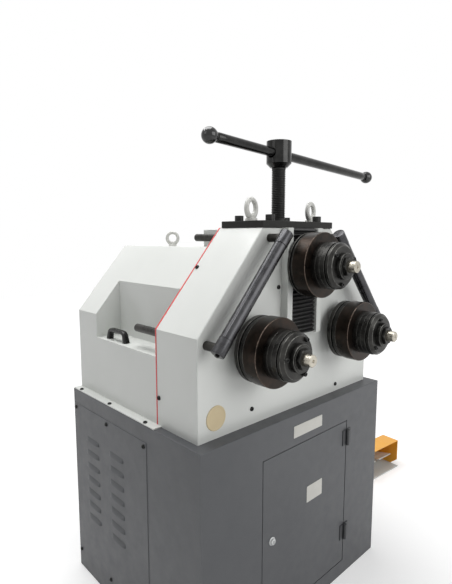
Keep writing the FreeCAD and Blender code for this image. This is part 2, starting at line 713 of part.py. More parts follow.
def feed():
    """Sliding block and bellows in the slot, the screw above it, its hub, tommy bar and knobs."""
    slide = new_body("slide_block", y="face_y", z="cabinet_height")
    pad(rectangle(slide, "Y", ("-block_width / 2", "block_bottom"), ("block_width / 2", "block_top"),
                  "-block_proud"), "block_rear + block_proud")
    pocket(circles(slide, "Y", [("0", "upper_roll_height", "journal_radius + journal_gap")], "-block_proud"),
           "block_proud + journal_length + slide_gap")
    pocket(circles(slide, "Z", [("0", "screw_along", "screw_radius + screw_gap")], "block_top - screw_seat"),
           "screw_seat")
    folded_sheet("lower_bellows", "slot_bottom + bellows_gap", "block_bottom - bellows_gap",
                 SIZES["lower_folds"])
    folded_sheet("upper_bellows", "block_top + bellows_gap", "head_height - bellows_gap",
                 SIZES["upper_folds"])

    above_deck = dict(y="face_y + screw_along", z="cabinet_height")
    screw = new_body("feed_screw", **above_deck)
    start = "block_top - screw_seat + screw_seat_gap"
    pad(circles(screw, "Z", [("0", "0", "screw_radius")], start), f"hub_bottom - ({start})")
    hub = new_body("screw_hub", turn="bar_turn_angle", **above_deck)
    profile = [("0", "hub_bottom"), ("hub_radius - hub_chamfer", "hub_bottom"),
               ("hub_radius", "hub_bottom + hub_chamfer"), ("hub_radius", "hub_top"), ("0", "hub_top")]
    revolve(outline(hub, "Y", profile), "V_Axis")
    pocket(circles(hub, "X", [("0", "bar_height", "hub_bore")], "-hub_radius"), "2 * hub_radius")

    along_bar = dict(y="face_y + screw_along", z="cabinet_height + bar_height",
                     turn="bar_turn_angle", tilt="bar_tilt_angle")
    bar = new_body("tommy_bar", **along_bar)
    pad(circles(bar, "X", [("0", "0", "bar_radius")], "-bar_left"), "bar_left + bar_right")
    knobs = []
    for end, inward in (("-bar_left", "+"), ("bar_right", "-")):
        ball = primitive("Sphere", "ball", {"Radius": "knob_radius"},
                         x=f"{end} {'-' if inward == '+' else '+'} (knob_radius - knob_grip)")
        start = end if inward == "+" else f"{end} - 2 * knob_radius"
        hole = primitive("Cylinder", "ball_hole",
                         {"Radius": "bar_radius + ring_gap", "Height": "2 * knob_radius"}, x=start, tilt="90")
        knobs.append(join("Cut", "knob", ball, hole, **along_bar))
    gather("bar_knobs", knobs)


def guide(side, sign):
    """Slanted round bar in front of the face, on two pins that slide through the head."""
    bar = new_body(f"{side}_guide_bar", f"{sign}guide_low_across", "face_y - guide_stand",
                   "cabinet_height + guide_low_up", tilt=f"{'' if sign == '-' else '-'}guide_lean")
    pad(circles(bar, "Z", [("0", "0", "guide_radius")], "guide_head - guide_overhang"),
        "guide_span + 2 * guide_overhang - 2 * guide_head")
    for start in ("-guide_overhang", "guide_span + guide_overhang - guide_head"):
        pad(circles(bar, "Z", [("0", "0", "guide_head_radius")], start), "guide_head")
    seats = [("0", height, "guide_pin_radius + guide_pin_gap") for height in ("0", "guide_span")]
    pocket(circles(bar, "Y", seats), "guide_head_radius")
    pins = new_body(f"{side}_guide_pins", y="face_y - guide_stand", z="cabinet_height")
    ends = [(f"{sign}guide_low_across", "guide_low_up", "guide_pin_radius"),
            (f"{sign}guide_high_across", "guide_high_up", "guide_pin_radius")]
    pad(circles(pins, "Y", ends), "head_depth + guide_pin_tail + guide_stand")


def pedal():
    """Foot switch: base plate, hood with its pivot rod, two treadles, from its front right corner."""
    where = dict(x="side_x + pedal_aside", y="pedal_y", turn="pedal_angle")
    base = new_body("pedal_base", **where)
    pad(rectangle(base, "Z", ("-pedal_width", "0"), ("0", "pedal_depth")), "pedal_plate")

    hood = new_body("pedal_hood", **where)
    front, back = "hood_start", "pedal_depth - pedal_wall"
    side_view = [(back, "pedal_plate"), (back, "hood_back"), (f"{front} + hood_roof", "hood_height"),
                 (front, "hood_height"), (front, "hood_lift"), (f"{front} + hood_lift", "pedal_plate")]
    pad(outline(hood, "X", side_view, "-pedal_width"), "pedal_width")
    hollow = [(f"{back} - pedal_wall", "0"), (f"{back} - pedal_wall", "hood_back - pedal_wall / 2"),
              (f"{front} + hood_roof - pedal_wall / 2", "hood_height - pedal_wall"),
              ("-pedal_wall", "hood_height - pedal_wall"), ("-pedal_wall", "0")]
    pocket(outline(hood, "X", hollow, "pedal_wall - pedal_width"), "pedal_width - 2 * pedal_wall")

    pad(circles(hood, "X", [("treadle_pivot", "treadle_pivot_up", "treadle_pin")], "-pedal_width"),
        "pedal_width")

    for side, sign in (("left", "-"), ("right", "+")):
        treadle = new_body(f"pedal_treadle_{side}", **where)
        low = f"{sign} pedal_width / 4 - pedal_width / 2 - treadle_width / 2"
        rise = "treadle_length * tan(treadle_angle)"
        front_y = "treadle_pivot - treadle_length"
        plate = [("treadle_pivot", "treadle_pivot_up"),
                 ("treadle_pivot", "treadle_pivot_up + treadle_thickness"),
                 (front_y, f"treadle_pivot_up + treadle_thickness + {rise}"),
                 (front_y, f"treadle_pivot_up + {rise}")]
        pad(outline(treadle, "X", plate, low), "treadle_width")
        tube = ("treadle_pivot", "treadle_pivot_up", "treadle_tube")
        pad(circles(treadle, "X", [tube], low), "treadle_width")
        hole = ("treadle_pivot", "treadle_pivot_up", "treadle_pin + treadle_pin_gap")
        pocket(circles(treadle, "X", [hole], low), "treadle_width")


def check_and_write():
    """Stop on any failed object or bad shape, then write each piece to its own file."""
    doc.recompute()
    faults = [thing.Name for thing in doc.Objects if {"Invalid", "Error"} & set(thing.State)]
    for label, piece in pieces.items():
        if piece.Shape.isNull() or not piece.Shape.isValid() or not piece.Shape.Solids:
            faults.append(label)
    if faults:
        raise SystemExit("faulty: " + ", ".join(faults))
    os.makedirs("parts", exist_ok=True)
    for label, piece in pieces.items():
        piece.Shape.exportStep(f"parts/{label}.step")
    print(len(pieces), "pieces written")


cabinet()
cabinet_door()
door_hinges()
head()
rear_cover()
bridge_handles()
lifting_eyes("front_eyes", "eye", "eye_along", "plate_top", ("eye_angle", "eye_angle"))
lifting_eyes("rear_eyes", "rear_eye", "rear_eye_along", "cover_height", ("-rear_eye_angle", "rear_eye_angle"))
feed()
for side, sign in (("left", "-"), ("right", "")):
    louvre_panel(side, sign)
    guide(side, sign)
roll("left", "-lower_roll_across", "left_roll_reach", "lower")
roll("right", "lower_roll_across", "right_roll_reach", "lower")
roll("upper", "0", "upper_roll_reach", "upper")
pedal()
check_and_write()
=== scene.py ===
# %% [markdown]
# # A three-roll pipe bending machine
#
# The machine stands here already as solids made in CAD. This lesson dresses them: every node gets
# a material worked out from nodes, and what a plain solid can't show is added as surfaces that are
# computed with numpy. The solids never move, so each new piece takes its place from their sizes.
#
# All lengths are in metres. X runs to the operator's right, Y from the face into the machine, Z up.

# %% Load the frame
import bpy
import bmesh
import math
import numpy as np
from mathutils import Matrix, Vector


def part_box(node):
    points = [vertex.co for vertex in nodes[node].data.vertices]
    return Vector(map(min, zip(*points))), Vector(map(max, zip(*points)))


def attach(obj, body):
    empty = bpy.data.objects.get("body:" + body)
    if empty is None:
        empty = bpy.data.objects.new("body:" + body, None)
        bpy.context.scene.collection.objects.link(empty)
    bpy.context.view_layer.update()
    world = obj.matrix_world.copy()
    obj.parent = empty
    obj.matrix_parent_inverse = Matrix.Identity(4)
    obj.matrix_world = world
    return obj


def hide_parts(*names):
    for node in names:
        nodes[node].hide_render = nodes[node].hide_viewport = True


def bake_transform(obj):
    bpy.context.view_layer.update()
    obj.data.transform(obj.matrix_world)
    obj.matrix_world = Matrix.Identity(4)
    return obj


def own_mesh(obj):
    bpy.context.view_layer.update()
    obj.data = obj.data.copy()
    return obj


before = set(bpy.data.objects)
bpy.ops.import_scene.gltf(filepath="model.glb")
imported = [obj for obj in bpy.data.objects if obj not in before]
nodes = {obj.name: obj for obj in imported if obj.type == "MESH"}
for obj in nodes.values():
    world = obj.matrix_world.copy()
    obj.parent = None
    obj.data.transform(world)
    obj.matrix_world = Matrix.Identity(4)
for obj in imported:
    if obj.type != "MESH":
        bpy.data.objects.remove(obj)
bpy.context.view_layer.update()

# %% [markdown]
# ## Places on the machine
#
# A few planes and axes come back often: the face of the head, the deck of the cabinet and the three
# roll axes. They are read from the solids, so the pieces stay on the machine when a size changes.

# %% Planes and axes
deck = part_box("cabinet_deck")[1].z
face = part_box("front_housing")[0].y
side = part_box("front_housing")[1].x


def centre_of(node):
    low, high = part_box(node)
    return np.array((low + high) / 2)


ROLLS = {name: centre_of(f"{name}_main_roll")[[0, 2]] for name in ("left", "right", "upper")}
print("deck", round(deck, 4), "face", round(face, 4), {name: at.round(3) for name, at in ROLLS.items()})

# %% [markdown]
# ## The camera
#
# The photograph was taken from the left, a little below the top of the screw. Its lines were
# solved for the place, the turn and the lens of the camera, so the render can be laid over it.

# %% Camera
camera_data = bpy.data.cameras.new("photo_camera")
camera_data.sensor_width = 36
camera_data.lens = 28.28
camera = bpy.data.objects.new("photo_camera", camera_data)
camera.location = (-1.2433, -1.2990, 1.3430)
camera.rotation_euler = (math.radians(83.061), 0, math.radians(-43.268))
bpy.context.scene.collection.objects.link(camera)
bpy.context.scene.camera = camera

# %% [markdown]
# ## Surfaces from arrays
#
# Nearly every new piece is a grid of points: rows run along a profile, columns around it or along a
# path. The points come from one numpy expression, the faces from index arrays, and a check of the
# signed volume turns the faces outward.

# %% Grid faces and mesh making
def grid_faces(rows, columns, wrap_rows=False, wrap_columns=False):
    """Quads between neighbours of a grid, as one index array. A wrapped direction is closed."""
    row = np.arange(rows if wrap_rows else rows - 1)[:, None]
    column = np.arange(columns if wrap_columns else columns - 1)[None, :]
    next_row, next_column = (row + 1) % rows, (column + 1) % columns
    corners = [row * columns + column, row * columns + next_column,
               next_row * columns + next_column, next_row * columns + column]
    return np.stack(np.broadcast_arrays(*corners), -1).reshape(-1, 4)


def six_volumes(points, faces):
    """Six times the signed volume: the triple products of fans from each face's first corner."""
    total = 0.0
    for k in range(1, faces.shape[1] - 1):
        a, b, c = points[faces[:, 0]], points[faces[:, k]], points[faces[:, k + 1]]
        total += np.einsum("ij,ij->", a, np.cross(b, c))
    return total


def make_piece(name, points, face_arrays, material, body, slot, sharp=None, instead=None, wear=None):
    """A smooth mesh from points and faces, riding on a body. Edges that turn by more than `sharp`
    degrees stay hard, and `instead` is the CAD node that the piece stands in for."""
    points = np.asarray(points, float).reshape(-1, 3)
    local = points - points.mean(0)
    if sum(six_volumes(local, faces) for faces in face_arrays) < 0:
        face_arrays = [faces[:, ::-1] for faces in face_arrays]
    mesh = bpy.data.meshes.new(name)
    mesh.from_pydata(points.tolist(), [], [face for faces in face_arrays for face in faces.tolist()])
    mesh.polygons.foreach_set("use_smooth", np.full(len(mesh.polygons), True))
    if sharp:
        mesh.set_sharp_from_angle(angle=math.radians(sharp))
    if wear is not None:
        layer = mesh.attributes.new("wear", "FLOAT", "POINT")
        layer.data.foreach_set("value", np.asarray(wear, np.float32).ravel())
    mesh.materials.append(material)
    piece = bpy.data.objects.new(name, mesh)
    bpy.context.scene.collection.objects.link(piece)
    if body:
        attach(piece, body)
    if instead:
        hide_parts(instead)
    return piece


# %% [markdown]
# ## Rounded profiles
#
# Real edges are never quite sharp: they catch the light, and the black finish wears off there first.
# One function rounds the corners of a profile and says how exposed each point is, from 0 on a flat
# to 1 on the crest of a corner.

# %% Rounding a profile
def rounded(profile, radius, steps=4, closed=True):
    """Corners become parabola arcs, (1-t)^2 A + 2t(1-t) P + t^2 B. Returns points and their wear."""
    profile = np.asarray(profile, float)
    before, after = np.roll(profile, 1, 0), np.roll(profile, -1, 0)
    back, ahead = before - profile, after - profile
    back_length = np.linalg.norm(back, axis=1, keepdims=True)
    ahead_length = np.linalg.norm(ahead, axis=1, keepdims=True)
    radius = np.broadcast_to(np.asarray(radius, float), len(profile))[:, None]
    reach = np.minimum(radius, 0.45 * np.minimum(back_length, ahead_length))
    start, end = profile + reach * back / back_length, profile + reach * ahead / ahead_length
    t = np.linspace(0, 1, steps + 1)[None, :, None]
    arcs = (1 - t) ** 2 * start[:, None] + 2 * t * (1 - t) * profile[:, None] + t ** 2 * end[:, None]
    support = 0.3 * reach
    lead_in = start + support * back / back_length
    lead_out = end + support * ahead / ahead_length
    points = np.concatenate([lead_in[:, None], arcs, lead_out[:, None]], 1)
    wear = np.concatenate([[0], 4 * t.ravel() * (1 - t.ravel()), [0]])
    turn = back[:, 0] * ahead[:, 1] - back[:, 1] * ahead[:, 0]
    exposed = (turn * np.sign(turn[np.argmax(profile[:, 1])]) > 0)[:, None] * wear[None]
    if not closed:
        points, exposed = points[1:-1], exposed[1:-1]
        ends = profile[[0, -1]]
        return (np.concatenate([ends[:1], points.reshape(-1, 2), ends[1:]]),
                np.concatenate([[0], exposed.ravel(), [0]]))
    return points.reshape(-1, 2), exposed.ravel()


# %% [markdown]
# ## Turned pieces
#
# Rolls, collars, knobs and screw heads are all made on a lathe, so they share one function: a
# profile of (along, radius) pairs is swung around an axis. A closed profile gives a ring with a
# bore, an open one starts and ends on the axis, where one vertex closes the pole.

# %% Surfaces of revolution
def full_turn(steps):
    return np.arange(steps) * (2 * np.pi / steps)


def spokes(axis, steps):
    """The unit vector of the axis, and cos(a) * side + sin(a) * up for the angles a of a full turn."""
    axis = np.asarray(axis, float) / np.linalg.norm(axis)
    aside = np.cross(axis, [0, 0, 1] if abs(axis[2]) < 0.9 else [0, 1, 0])
    aside /= np.linalg.norm(aside)
    angle = full_turn(steps)[:, None]
    return axis, np.cos(angle) * aside + np.sin(angle) * np.cross(axis, aside)


def turned(profile, centre, axis, steps=96, closed=True):
    """centre + along * axis + radius * spoke, for each (along, radius) of the profile."""
    profile = np.asarray(profile, float)
    axis, spoke = spokes(axis, steps)
    rings = profile if closed else profile[1:-1]
    points = np.asarray(centre) + rings[:, :1, None] * axis + rings[:, 1:, None] * spoke
    faces = [grid_faces(len(rings), steps, wrap_rows=closed, wrap_columns=True)]
    points = points.reshape(-1, 3)
    if not closed:
        poles = np.asarray(centre) + profile[[0, -1], :1] * axis
        count, around = len(points), np.arange(steps)
        points = np.concatenate([points, poles])
        first, last = np.roll(around, -1), around + count - steps
        faces.append(np.stack([around, np.full(steps, count), first], 1))
        faces.append(np.stack([np.roll(last, -1), np.full(steps, count + 1), last], 1))
    return points, faces


# %% [markdown]
# ## Materials
#
# Each finish is one node tree. Colours and bumps read Object coordinates, in metres, so a pattern
# has its real size and stays on the piece. A small helper adds a node and wires it in one line.

# %% Node helper
def add_node(tree, kind, inputs=None, **settings):
    """A shader node with its settings; an input is a value, or a socket to link from."""
    item = tree.nodes.new("ShaderNode" + kind)
    for name, value in settings.items():
        setattr(item, name, value)
    for name, value in (inputs or {}).items():
        if isinstance(value, bpy.types.NodeSocket):
            tree.links.new(value, item.inputs[name])
        else:
            item.inputs[name].default_value = value
    return item


def new_finish(name, **constants):
    """A material whose shader gets its constant values directly. Returns material, tree, shader."""
    material = bpy.data.materials.new(name)
    material.use_nodes = True
    tree = material.node_tree
    shader = tree.nodes["Principled BSDF"]
    for socket, value in constants.items():
        shader.inputs[socket.replace("_", " ")].default_value = value
    return material, tree, shader


def place_of(tree):
    return add_node(tree, "TexCoord").outputs["Object"]


def speckle(tree, scale, detail, roughness=0.55, place=None):
    """Noise around 0.5 with features of about 1 / scale metres."""
    inputs = {"Vector": place or place_of(tree), "Scale": scale, "Detail": detail, "Roughness": roughness}
    return add_node(tree, "TexNoise", inputs).outputs["Fac"]


def ramp(tree, factor, low, high, start=0.3, end=0.7):
    """Blend from the low colour to the high one as the factor goes from start to end."""
    item = add_node(tree, "ValToRGB", {"Fac": factor})
    item.color_ramp.elements[0].position, item.color_ramp.elements[0].color = start, (*low, 1)
    item.color_ramp.elements[1].position, item.color_ramp.elements[1].color = end, (*high, 1)
    return item.outputs["Color"]


def stretch(tree, factor, low, high, start=0.3, end=0.7):
    inputs = {"Value": factor, "From Min": start, "From Max": end, "To Min": low, "To Max": high}
    return add_node(tree, "MapRange", inputs).outputs["Result"]


def combine(tree, operation, first, second):
    return add_node(tree, "Math", {0: first, 1: second}, operation=operation).outputs["Value"]


def bump(tree, shader, height, distance):
    item = add_node(tree, "Bump", {"Height": height, "Distance": distance, "Strength": 1.0})
    tree.links.new(item.outputs["Normal"], shader.inputs["Normal"])


# %% [markdown]
# ## Sprayed paint
#
# Sprayed enamel is nearly even: it has broad clouds where the coat is thicker, and a fine ripple,
# called orange peel, that breaks up reflections. Plastics and bright steel differ only in scale.

# %% Paint
def clouded(name, light, dark, gloss, scales, details, depth, **constants):
    """Cloudy colour, uneven roughness from gloss[0] to gloss[1], and a fine bump: one noise for each."""
    material, tree, shader = new_finish(name, **constants)
    cloud, patch, grain = (speckle(tree, scale, detail) for scale, detail in zip(scales, details))
    tree.links.new(ramp(tree, cloud, dark, light), shader.inputs["Base Color"])
    tree.links.new(stretch(tree, patch, *gloss), shader.inputs["Roughness"])
    bump(tree, shader, grain, depth)
    return material


def paint(name, light, dark, rough, coat=0.0, shine=0.5):
    return clouded(name, light, dark, (rough - 0.05, rough + 0.07), (3.0, 26, 420), (3.0, 5.0, 2.0), 0.00012,
                   Coat_Weight=coat, Coat_Roughness=0.12, Specular_IOR_Level=shine)


head_paint = paint("pale_grey_enamel", (0.70, 0.715, 0.69), (0.655, 0.67, 0.645), 0.34, coat=0.15)
cabinet_paint = paint("slate_grey_enamel", (0.080, 0.083, 0.089), (0.069, 0.072, 0.078), 0.44, 0.06, 0.4)
plate_paint = paint("black_enamel", (0.012, 0.0118, 0.010), (0.007, 0.007, 0.006), 0.42, shine=0.2)
# The hinges get the cabinet's grey at about half its brightness: painted shade for the dark gaps at their knuckles.
hinge_shade_paint = paint("hinge_grey_painted_shade", (0.040, 0.042, 0.045), (0.030, 0.031, 0.034), 0.45)
trim_paint = paint("red_enamel", (0.74, 0.065, 0.065), (0.62, 0.045, 0.048), 0.35)
eye_paint = paint("eye_bolt_grey", (0.66, 0.66, 0.63), (0.52, 0.52, 0.49), 0.4)
hood_paint = paint("signal_orange", (0.90, 0.43, 0.035), (0.84, 0.38, 0.026), 0.36, coat=0.1)
treadle_paint = paint("treadle_grey", (0.62, 0.64, 0.63), (0.54, 0.56, 0.55), 0.45)
cap_finish = paint("cap_beige", (0.68, 0.57, 0.37), (0.60, 0.49, 0.30), 0.6)

# %% [markdown]
# ## Black oxide steel
#
# The rolls are hardened and blackened. The finish is a thin brown-black skin on metal: dark from
# the front, brown where it mirrors the light, and rubbed bright along the edges. The edges are
# known from the wear that came with each rounded profile.

# %% Oxide
def oxide(name, light, dark, rough, worn=(0.42, 0.36, 0.31), metal=0.85, grain=900):
    material, tree, shader = new_finish(name, Metallic=metal)
    where = place_of(tree)
    blotch = speckle(tree, 34, 6.0, 0.6, where)
    skin = ramp(tree, blotch, dark, light, 0.35, 0.68)
    rubbed = add_node(tree, "Attribute", attribute_name="wear").outputs["Fac"]
    broken = combine(tree, "MULTIPLY", rubbed, speckle(tree, 120, 4.0, 0.6, where))
    bright = stretch(tree, broken, 0, 1, 0.30, 0.62)
    mixed = add_node(tree, "Mix", {"Factor": bright, "A": skin, "B": (*worn, 1)}, data_type="RGBA")
    tree.links.new(mixed.outputs["Result"], shader.inputs["Base Color"])
    tree.links.new(stretch(tree, blotch, rough - 0.07, rough + 0.1), shader.inputs["Roughness"])
    bump(tree, shader, speckle(tree, grain, 3.0, 0.6, where), 0.00004)
    return material


roll_oxide = oxide("roll_black_oxide", (0.034, 0.0225, 0.0165), (0.0120, 0.0105, 0.0088), 0.32, (0.17, 0.13, 0.105))
ring_oxide = oxide("ring_black_oxide", (0.042, 0.041, 0.038), (0.019, 0.0185, 0.0175), 0.32, (0.13, 0.13, 0.12))
bar_oxide = oxide("bar_black_oxide", (0.034, 0.034, 0.033), (0.020, 0.020, 0.0195), 0.15, (0.2, 0.2, 0.2))
guide_steel = oxide("guide_phosphate", (0.064, 0.064, 0.067), (0.040, 0.040, 0.043), 0.27, (0.3, 0.3, 0.3))
pin_oxide = oxide("pin_phosphate", (0.050, 0.048, 0.044), (0.026, 0.025, 0.023), 0.30, (0.2, 0.2, 0.2))
screw_steel = oxide("screw_blacking", (0.020, 0.020, 0.019), (0.008, 0.008, 0.0075), 0.45, (0.22, 0.22, 0.21), 0.6)

# %% [markdown]
# ## Bright steel, rubber and black plastic

# %% The other finishes
def bright_steel(name, colour, rough):
    shade = tuple(0.8 * c for c in colour)
    return clouded(name, colour, shade, (rough - 0.06, rough + 0.1), (60, 240, 1500), (5.0, 4.0, 2.0), 0.00002,
                   Metallic=1.0)


def moulded(name, light, dark, rough, grain, depth, shine=0.5):
    return clouded(name, light, dark, (rough - 0.05, rough + 0.08), (18, 90, grain), (4.0, 4.0, 3.0), depth,
                   Specular_IOR_Level=shine)


stub_steel = bright_steel("stub_nickel", (0.47, 0.44, 0.375), 0.30)
slide_steel = bright_steel("slide_steel", (0.40, 0.40, 0.39), 0.32)
zinc = bright_steel("zinc_plate", (0.55, 0.56, 0.56), 0.35)
bellows_rubber = moulded("bellows_rubber", (0.016, 0.016, 0.016), (0.008, 0.008, 0.008), 0.38, 700, 0.00005)
handle_plastic = moulded("handle_plastic", (0.009, 0.009, 0.0085), (0.005, 0.005, 0.005), 0.26, 1400, 0.00004, 0.3)
knob_plastic = moulded("knob_plastic", (0.006, 0.006, 0.006), (0.004, 0.004, 0.004), 0.10, 200, 0.00001)
blank_label = moulded("blank_plate", (0.62, 0.61, 0.57), (0.57, 0.56, 0.52), 0.4, 900, 0.00002)

# %% Give each CAD node its finish
FINISHES = {
    head_paint: ["front_housing", "rear_cover", "rear_top_box", "foot_strips", "slide_rails"],
    cabinet_paint: [name for name in nodes if name.startswith(("cabinet_", "louvre_"))],
    plate_paint: ["top_plate"],
    trim_paint: ["seam_trim"],
    eye_paint: ["front_eyes", "rear_eyes"],
    hood_paint: ["pedal_hood"],
    treadle_paint: ["pedal_base", "pedal_treadle_left", "pedal_treadle_right"],
    cap_finish: ["inspection_cap"],
    ring_oxide: [name for name in nodes if name.endswith(("_ring_set", "_lock_collar", "_shaft_nut"))],
    roll_oxide: [name for name in nodes if name.endswith("_main_roll")],
    bar_oxide: ["tommy_bar", "screw_hub"],
    guide_steel: [name for name in nodes if "_guide_" in name],
    screw_steel: ["feed_screw", "screw_nut", "plate_bolts", "door_lock"],
    hinge_shade_paint: ["door_hinge_fixed", "door_hinge_moving"],
    stub_steel: [name for name in nodes if name.endswith("_roll_shaft")],
    slide_steel: ["slide_block"],
    bellows_rubber: ["lower_bellows", "upper_bellows"],
    handle_plastic: ["bridge_handles"],
    knob_plastic: ["bar_knobs"],
}
for finish, names in FINISHES.items():
    for name in names:
        nodes[name].data.materials.clear()
        nodes[name].data.materials.append(finish)
dressed = {name for names in FINISHES.values() for name in names}
print(len(dressed), "nodes dressed, left over:", sorted(set(nodes) - dressed))

# %% [markdown]
# ## The rolls
#
# Each shaft carries a stack, read here from the face outward: two thick backing rings with a groove
# between them, the wide main roll, three thin spacers, a locking collar, a boss and a hexagon nut.
# The CAD solids have these as plain rings. The surfaces below have the same sizes and add the
# rounded, rubbed edges, and a longer chamfer on the collar. Depths are counted outward from the
# face, which is the sense of -Y.

# %% Ring sections
def span(node):
    """How far in front of the face a node starts and ends."""
    low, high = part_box(node)
    return face - high.y, face - low.y


def ring_section(start, end, outer, inner, edge, steps=4):
    """Cross-section of a ring: a rectangle in (along, radius) with its outer corners rounded."""
    corners = [(start, inner), (start, outer), (end, outer), (end, inner)]
    return rounded(corners, [0.0003, edge, edge, 0.0003], steps)


def turned_rings(name, sections, at, body, material, node, steps=144):
    """Several closed ring sections on one axis, merged into one piece."""
    points, faces, wear, count = [], [], [], 0
    for section, exposed in sections:
        ring_points, ring_faces = turned(section, (at[0], face, at[1]), (0, -1, 0), steps)
        points.append(ring_points)
        faces += [array + count for array in ring_faces]
        wear.append(np.repeat(exposed, steps))
        count += len(ring_points)
    make_piece(name, np.concatenate(points), faces, material, body, "black_oxide", instead=node,
               wear=np.concatenate(wear))


BORE, ROLL, COLLAR, SPACER = 0.03255, 0.106, 0.073, 0.075
CHAMFER = 0.0095
for name, at in ROLLS.items():
    near, far = span(f"{name}_main_roll")
    rear, front = span(f"{name}_ring_set")
    backing = (near - rear) / 2
    turned_rings(f"{name}_roll_surface", [ring_section(near, far, ROLL, BORE, 0.0024)], at,
                 f"{name}_roll", roll_oxide, f"{name}_main_roll", 176)
    groove = 0.0025
    sections = [ring_section(rear, rear + backing - groove, 0.104, BORE, 0.0022),
                ring_section(rear + backing - groove, rear + backing + groove, 0.098, BORE, 0.0003, 1),
                ring_section(rear + backing + groove, near - 0.002, 0.103, BORE, 0.0026),
                ring_section(near - 0.002, near, 0.097, BORE, 0.0003, 1)]
    spacer = (front - far) / 3
    for k in range(3):
        sections.append(ring_section(far + k * spacer, far + (k + 1) * spacer, SPACER, BORE, 0.0009))
    turned_rings(f"{name}_ring_surface", sections, at, f"{name}_roll", ring_oxide, f"{name}_ring_set")
    collar_near, collar_far = span(f"{name}_lock_collar")
    slope = [(collar_near + 0.0025, BORE), (collar_near + 0.0025, COLLAR), (collar_far - CHAMFER, COLLAR),
             (collar_far, COLLAR - CHAMFER), (collar_far, BORE)]
    collar = [ring_section(collar_near, collar_near + 0.0025, COLLAR - 0.004, BORE, 0.0003, 1),
              rounded(slope, [0.0003, 0.0012, 0.0016, 0.0020, 0.0003])]
    turned_rings(f"{name}_collar_surface", collar, at, f"{name}_roll", ring_oxide, f"{name}_lock_collar")
print("roll stacks made, main roll", round(far - near, 3), "wide")

# %% [markdown]
# ## Hexagons on a lathe grid
#
# A hexagon nut and a socket screw mix round and six-sided outlines. Both stay on one polar grid:
# the radius of a hexagon at the angle a is its half width across flats over cos(a') , where a' is
# the angle to the middle of the nearest flat. Rows may then change from round to hexagonal.

# %% Polar rings and socket screws
HEX_STEPS = 48


def hexagon(half_flats, angle):
    """Radius of a hexagon: half_flats / cos(angle to the middle of the nearest flat)."""
    return half_flats / np.cos((angle % (np.pi / 3)) - np.pi / 6)


def polar_rows(rows, centre, axis, steps=HEX_STEPS, closed=False):
    """Rows of (height, radius or radii) around an axis; the first and last rows shut with an n-gon."""
    axis, spoke = spokes(axis, steps)
    points = np.stack([np.asarray(centre) + height * axis + np.broadcast_to(radius, steps)[:, None] * spoke
                       for height, radius in rows])
    faces = [grid_faces(len(rows), steps, wrap_rows=closed, wrap_columns=True)]
    if not closed:
        around, count = np.arange(steps)[None], len(rows) * steps
        faces += [around[:, ::-1], around + count - steps]
    return points.reshape(-1, 3), faces


def socket_screw_rows(radius, height, dome):
    """From the seat up the head, over its rounded or domed rim, and down into the hexagon socket."""
    angle = full_turn(HEX_STEPS)
    socket = hexagon(0.45 * radius, angle)
    rim = np.linspace(0, np.pi / 2, 5)
    reach = dome * radius
    rows = [(0, radius)]
    rows += [(height - reach * 0.8 * (1 - np.sin(t)), radius - reach * (1 - np.cos(t))) for t in rim]
    rows += [(height, socket + 0.06 * radius), (height - 0.05 * radius, socket), (height * 0.35, socket)]
    return rows


def merge(parts):
    """Several (points, faces) into one, with the face indices moved along."""
    points, faces, count = [], [], 0
    for part_points, part_faces in parts:
        points.append(part_points)
        faces += [array + count for array in part_faces]
        count += len(part_points)
    return np.concatenate(points), faces


def socket_screws(name, places, radius, height, dome, body, slot="black_oxide", sharp=None, instead=None):
    """One piece from many screws; each place is a centre and the way its head points."""
    rows = socket_screw_rows(radius, height, dome)
    points, faces = merge([polar_rows(rows, centre, axis) for centre, axis in places])
    make_piece(name, points, faces, screw_steel, body, slot, sharp, instead)


# %% [markdown]
# ## Nuts, bosses and the screws in the collars
#
# The hexagon nut has the usual chamfer: its corners are cut by a cone, so each corner is a little
# lower than the middle of a flat. On the grid that is the smaller of the hexagon and a circle.

# %% Shaft nuts
HALF_FLATS, BOSS, WASHER, NUT_BORE, BOLT_CIRCLE = 0.0275, 0.042, 0.0365, 0.01805, 0.0575
for name, at in ROLLS.items():
    near, far = span(f"{name}_shaft_nut")
    angle = full_turn(HEX_STEPS)
    flats = hexagon(HALF_FLATS, angle)
    boss_end = near + 0.014
    centre = (at[0], face, at[1])
    boss, boss_wear = rounded([(near, BORE), (near, BOSS), (boss_end, BOSS), (boss_end, BORE)],
                              [0.0003, 0.001, 0.002, 0.0003])
    boss_part = turned(boss, centre, (0, -1, 0), 96)
    washer, washer_wear = rounded([(boss_end, 0.0185), (boss_end, WASHER), (boss_end + 0.0016, WASHER),
                                   (boss_end + 0.0016, 0.0185)], [0.0002, 0.0002, 0.0008, 0.0003])
    washer_part = turned(washer, centre, (0, -1, 0), 96)
    boss_end += 0.0016
    bore = np.full(HEX_STEPS, NUT_BORE)
    nut_rows = [(boss_end, bore), (boss_end, flats), (far - 0.0026, flats),
                (far - 0.0014, np.minimum(flats, 0.0296)), (far, np.minimum(flats, 0.0276)),
                (far, 0.0205), (far - 0.001, bore)]
    nut_part = polar_rows(nut_rows, centre, (0, -1, 0), closed=True)
    points, faces = merge([boss_part, washer_part, nut_part])
    wear = np.concatenate([np.repeat(boss_wear, 96), np.repeat(washer_wear, 96), np.zeros(len(nut_part[0]))])
    make_piece(f"{name}_nut_surface", points, faces, ring_oxide, f"{name}_roll", "black_oxide", 30,
               f"{name}_shaft_nut", wear)

# %% Collar screws
for name, start in (("left", 176), ("right", 106), ("upper", 141)):
    at, (near, far) = ROLLS[name], span(f"{name}_lock_collar")
    angles = np.radians(start + 120 * np.arange(3))
    seats = [((at[0] + BOLT_CIRCLE * x, face - far + 0.004, at[1] + BOLT_CIRCLE * z), (0, -1, 0))
             for x, z in zip(np.cos(angles), np.sin(angles))]
    socket_screws(f"{name}_collar_screws", seats, 0.0066, 0.0115, 0.12, f"{name}_roll", sharp=35)

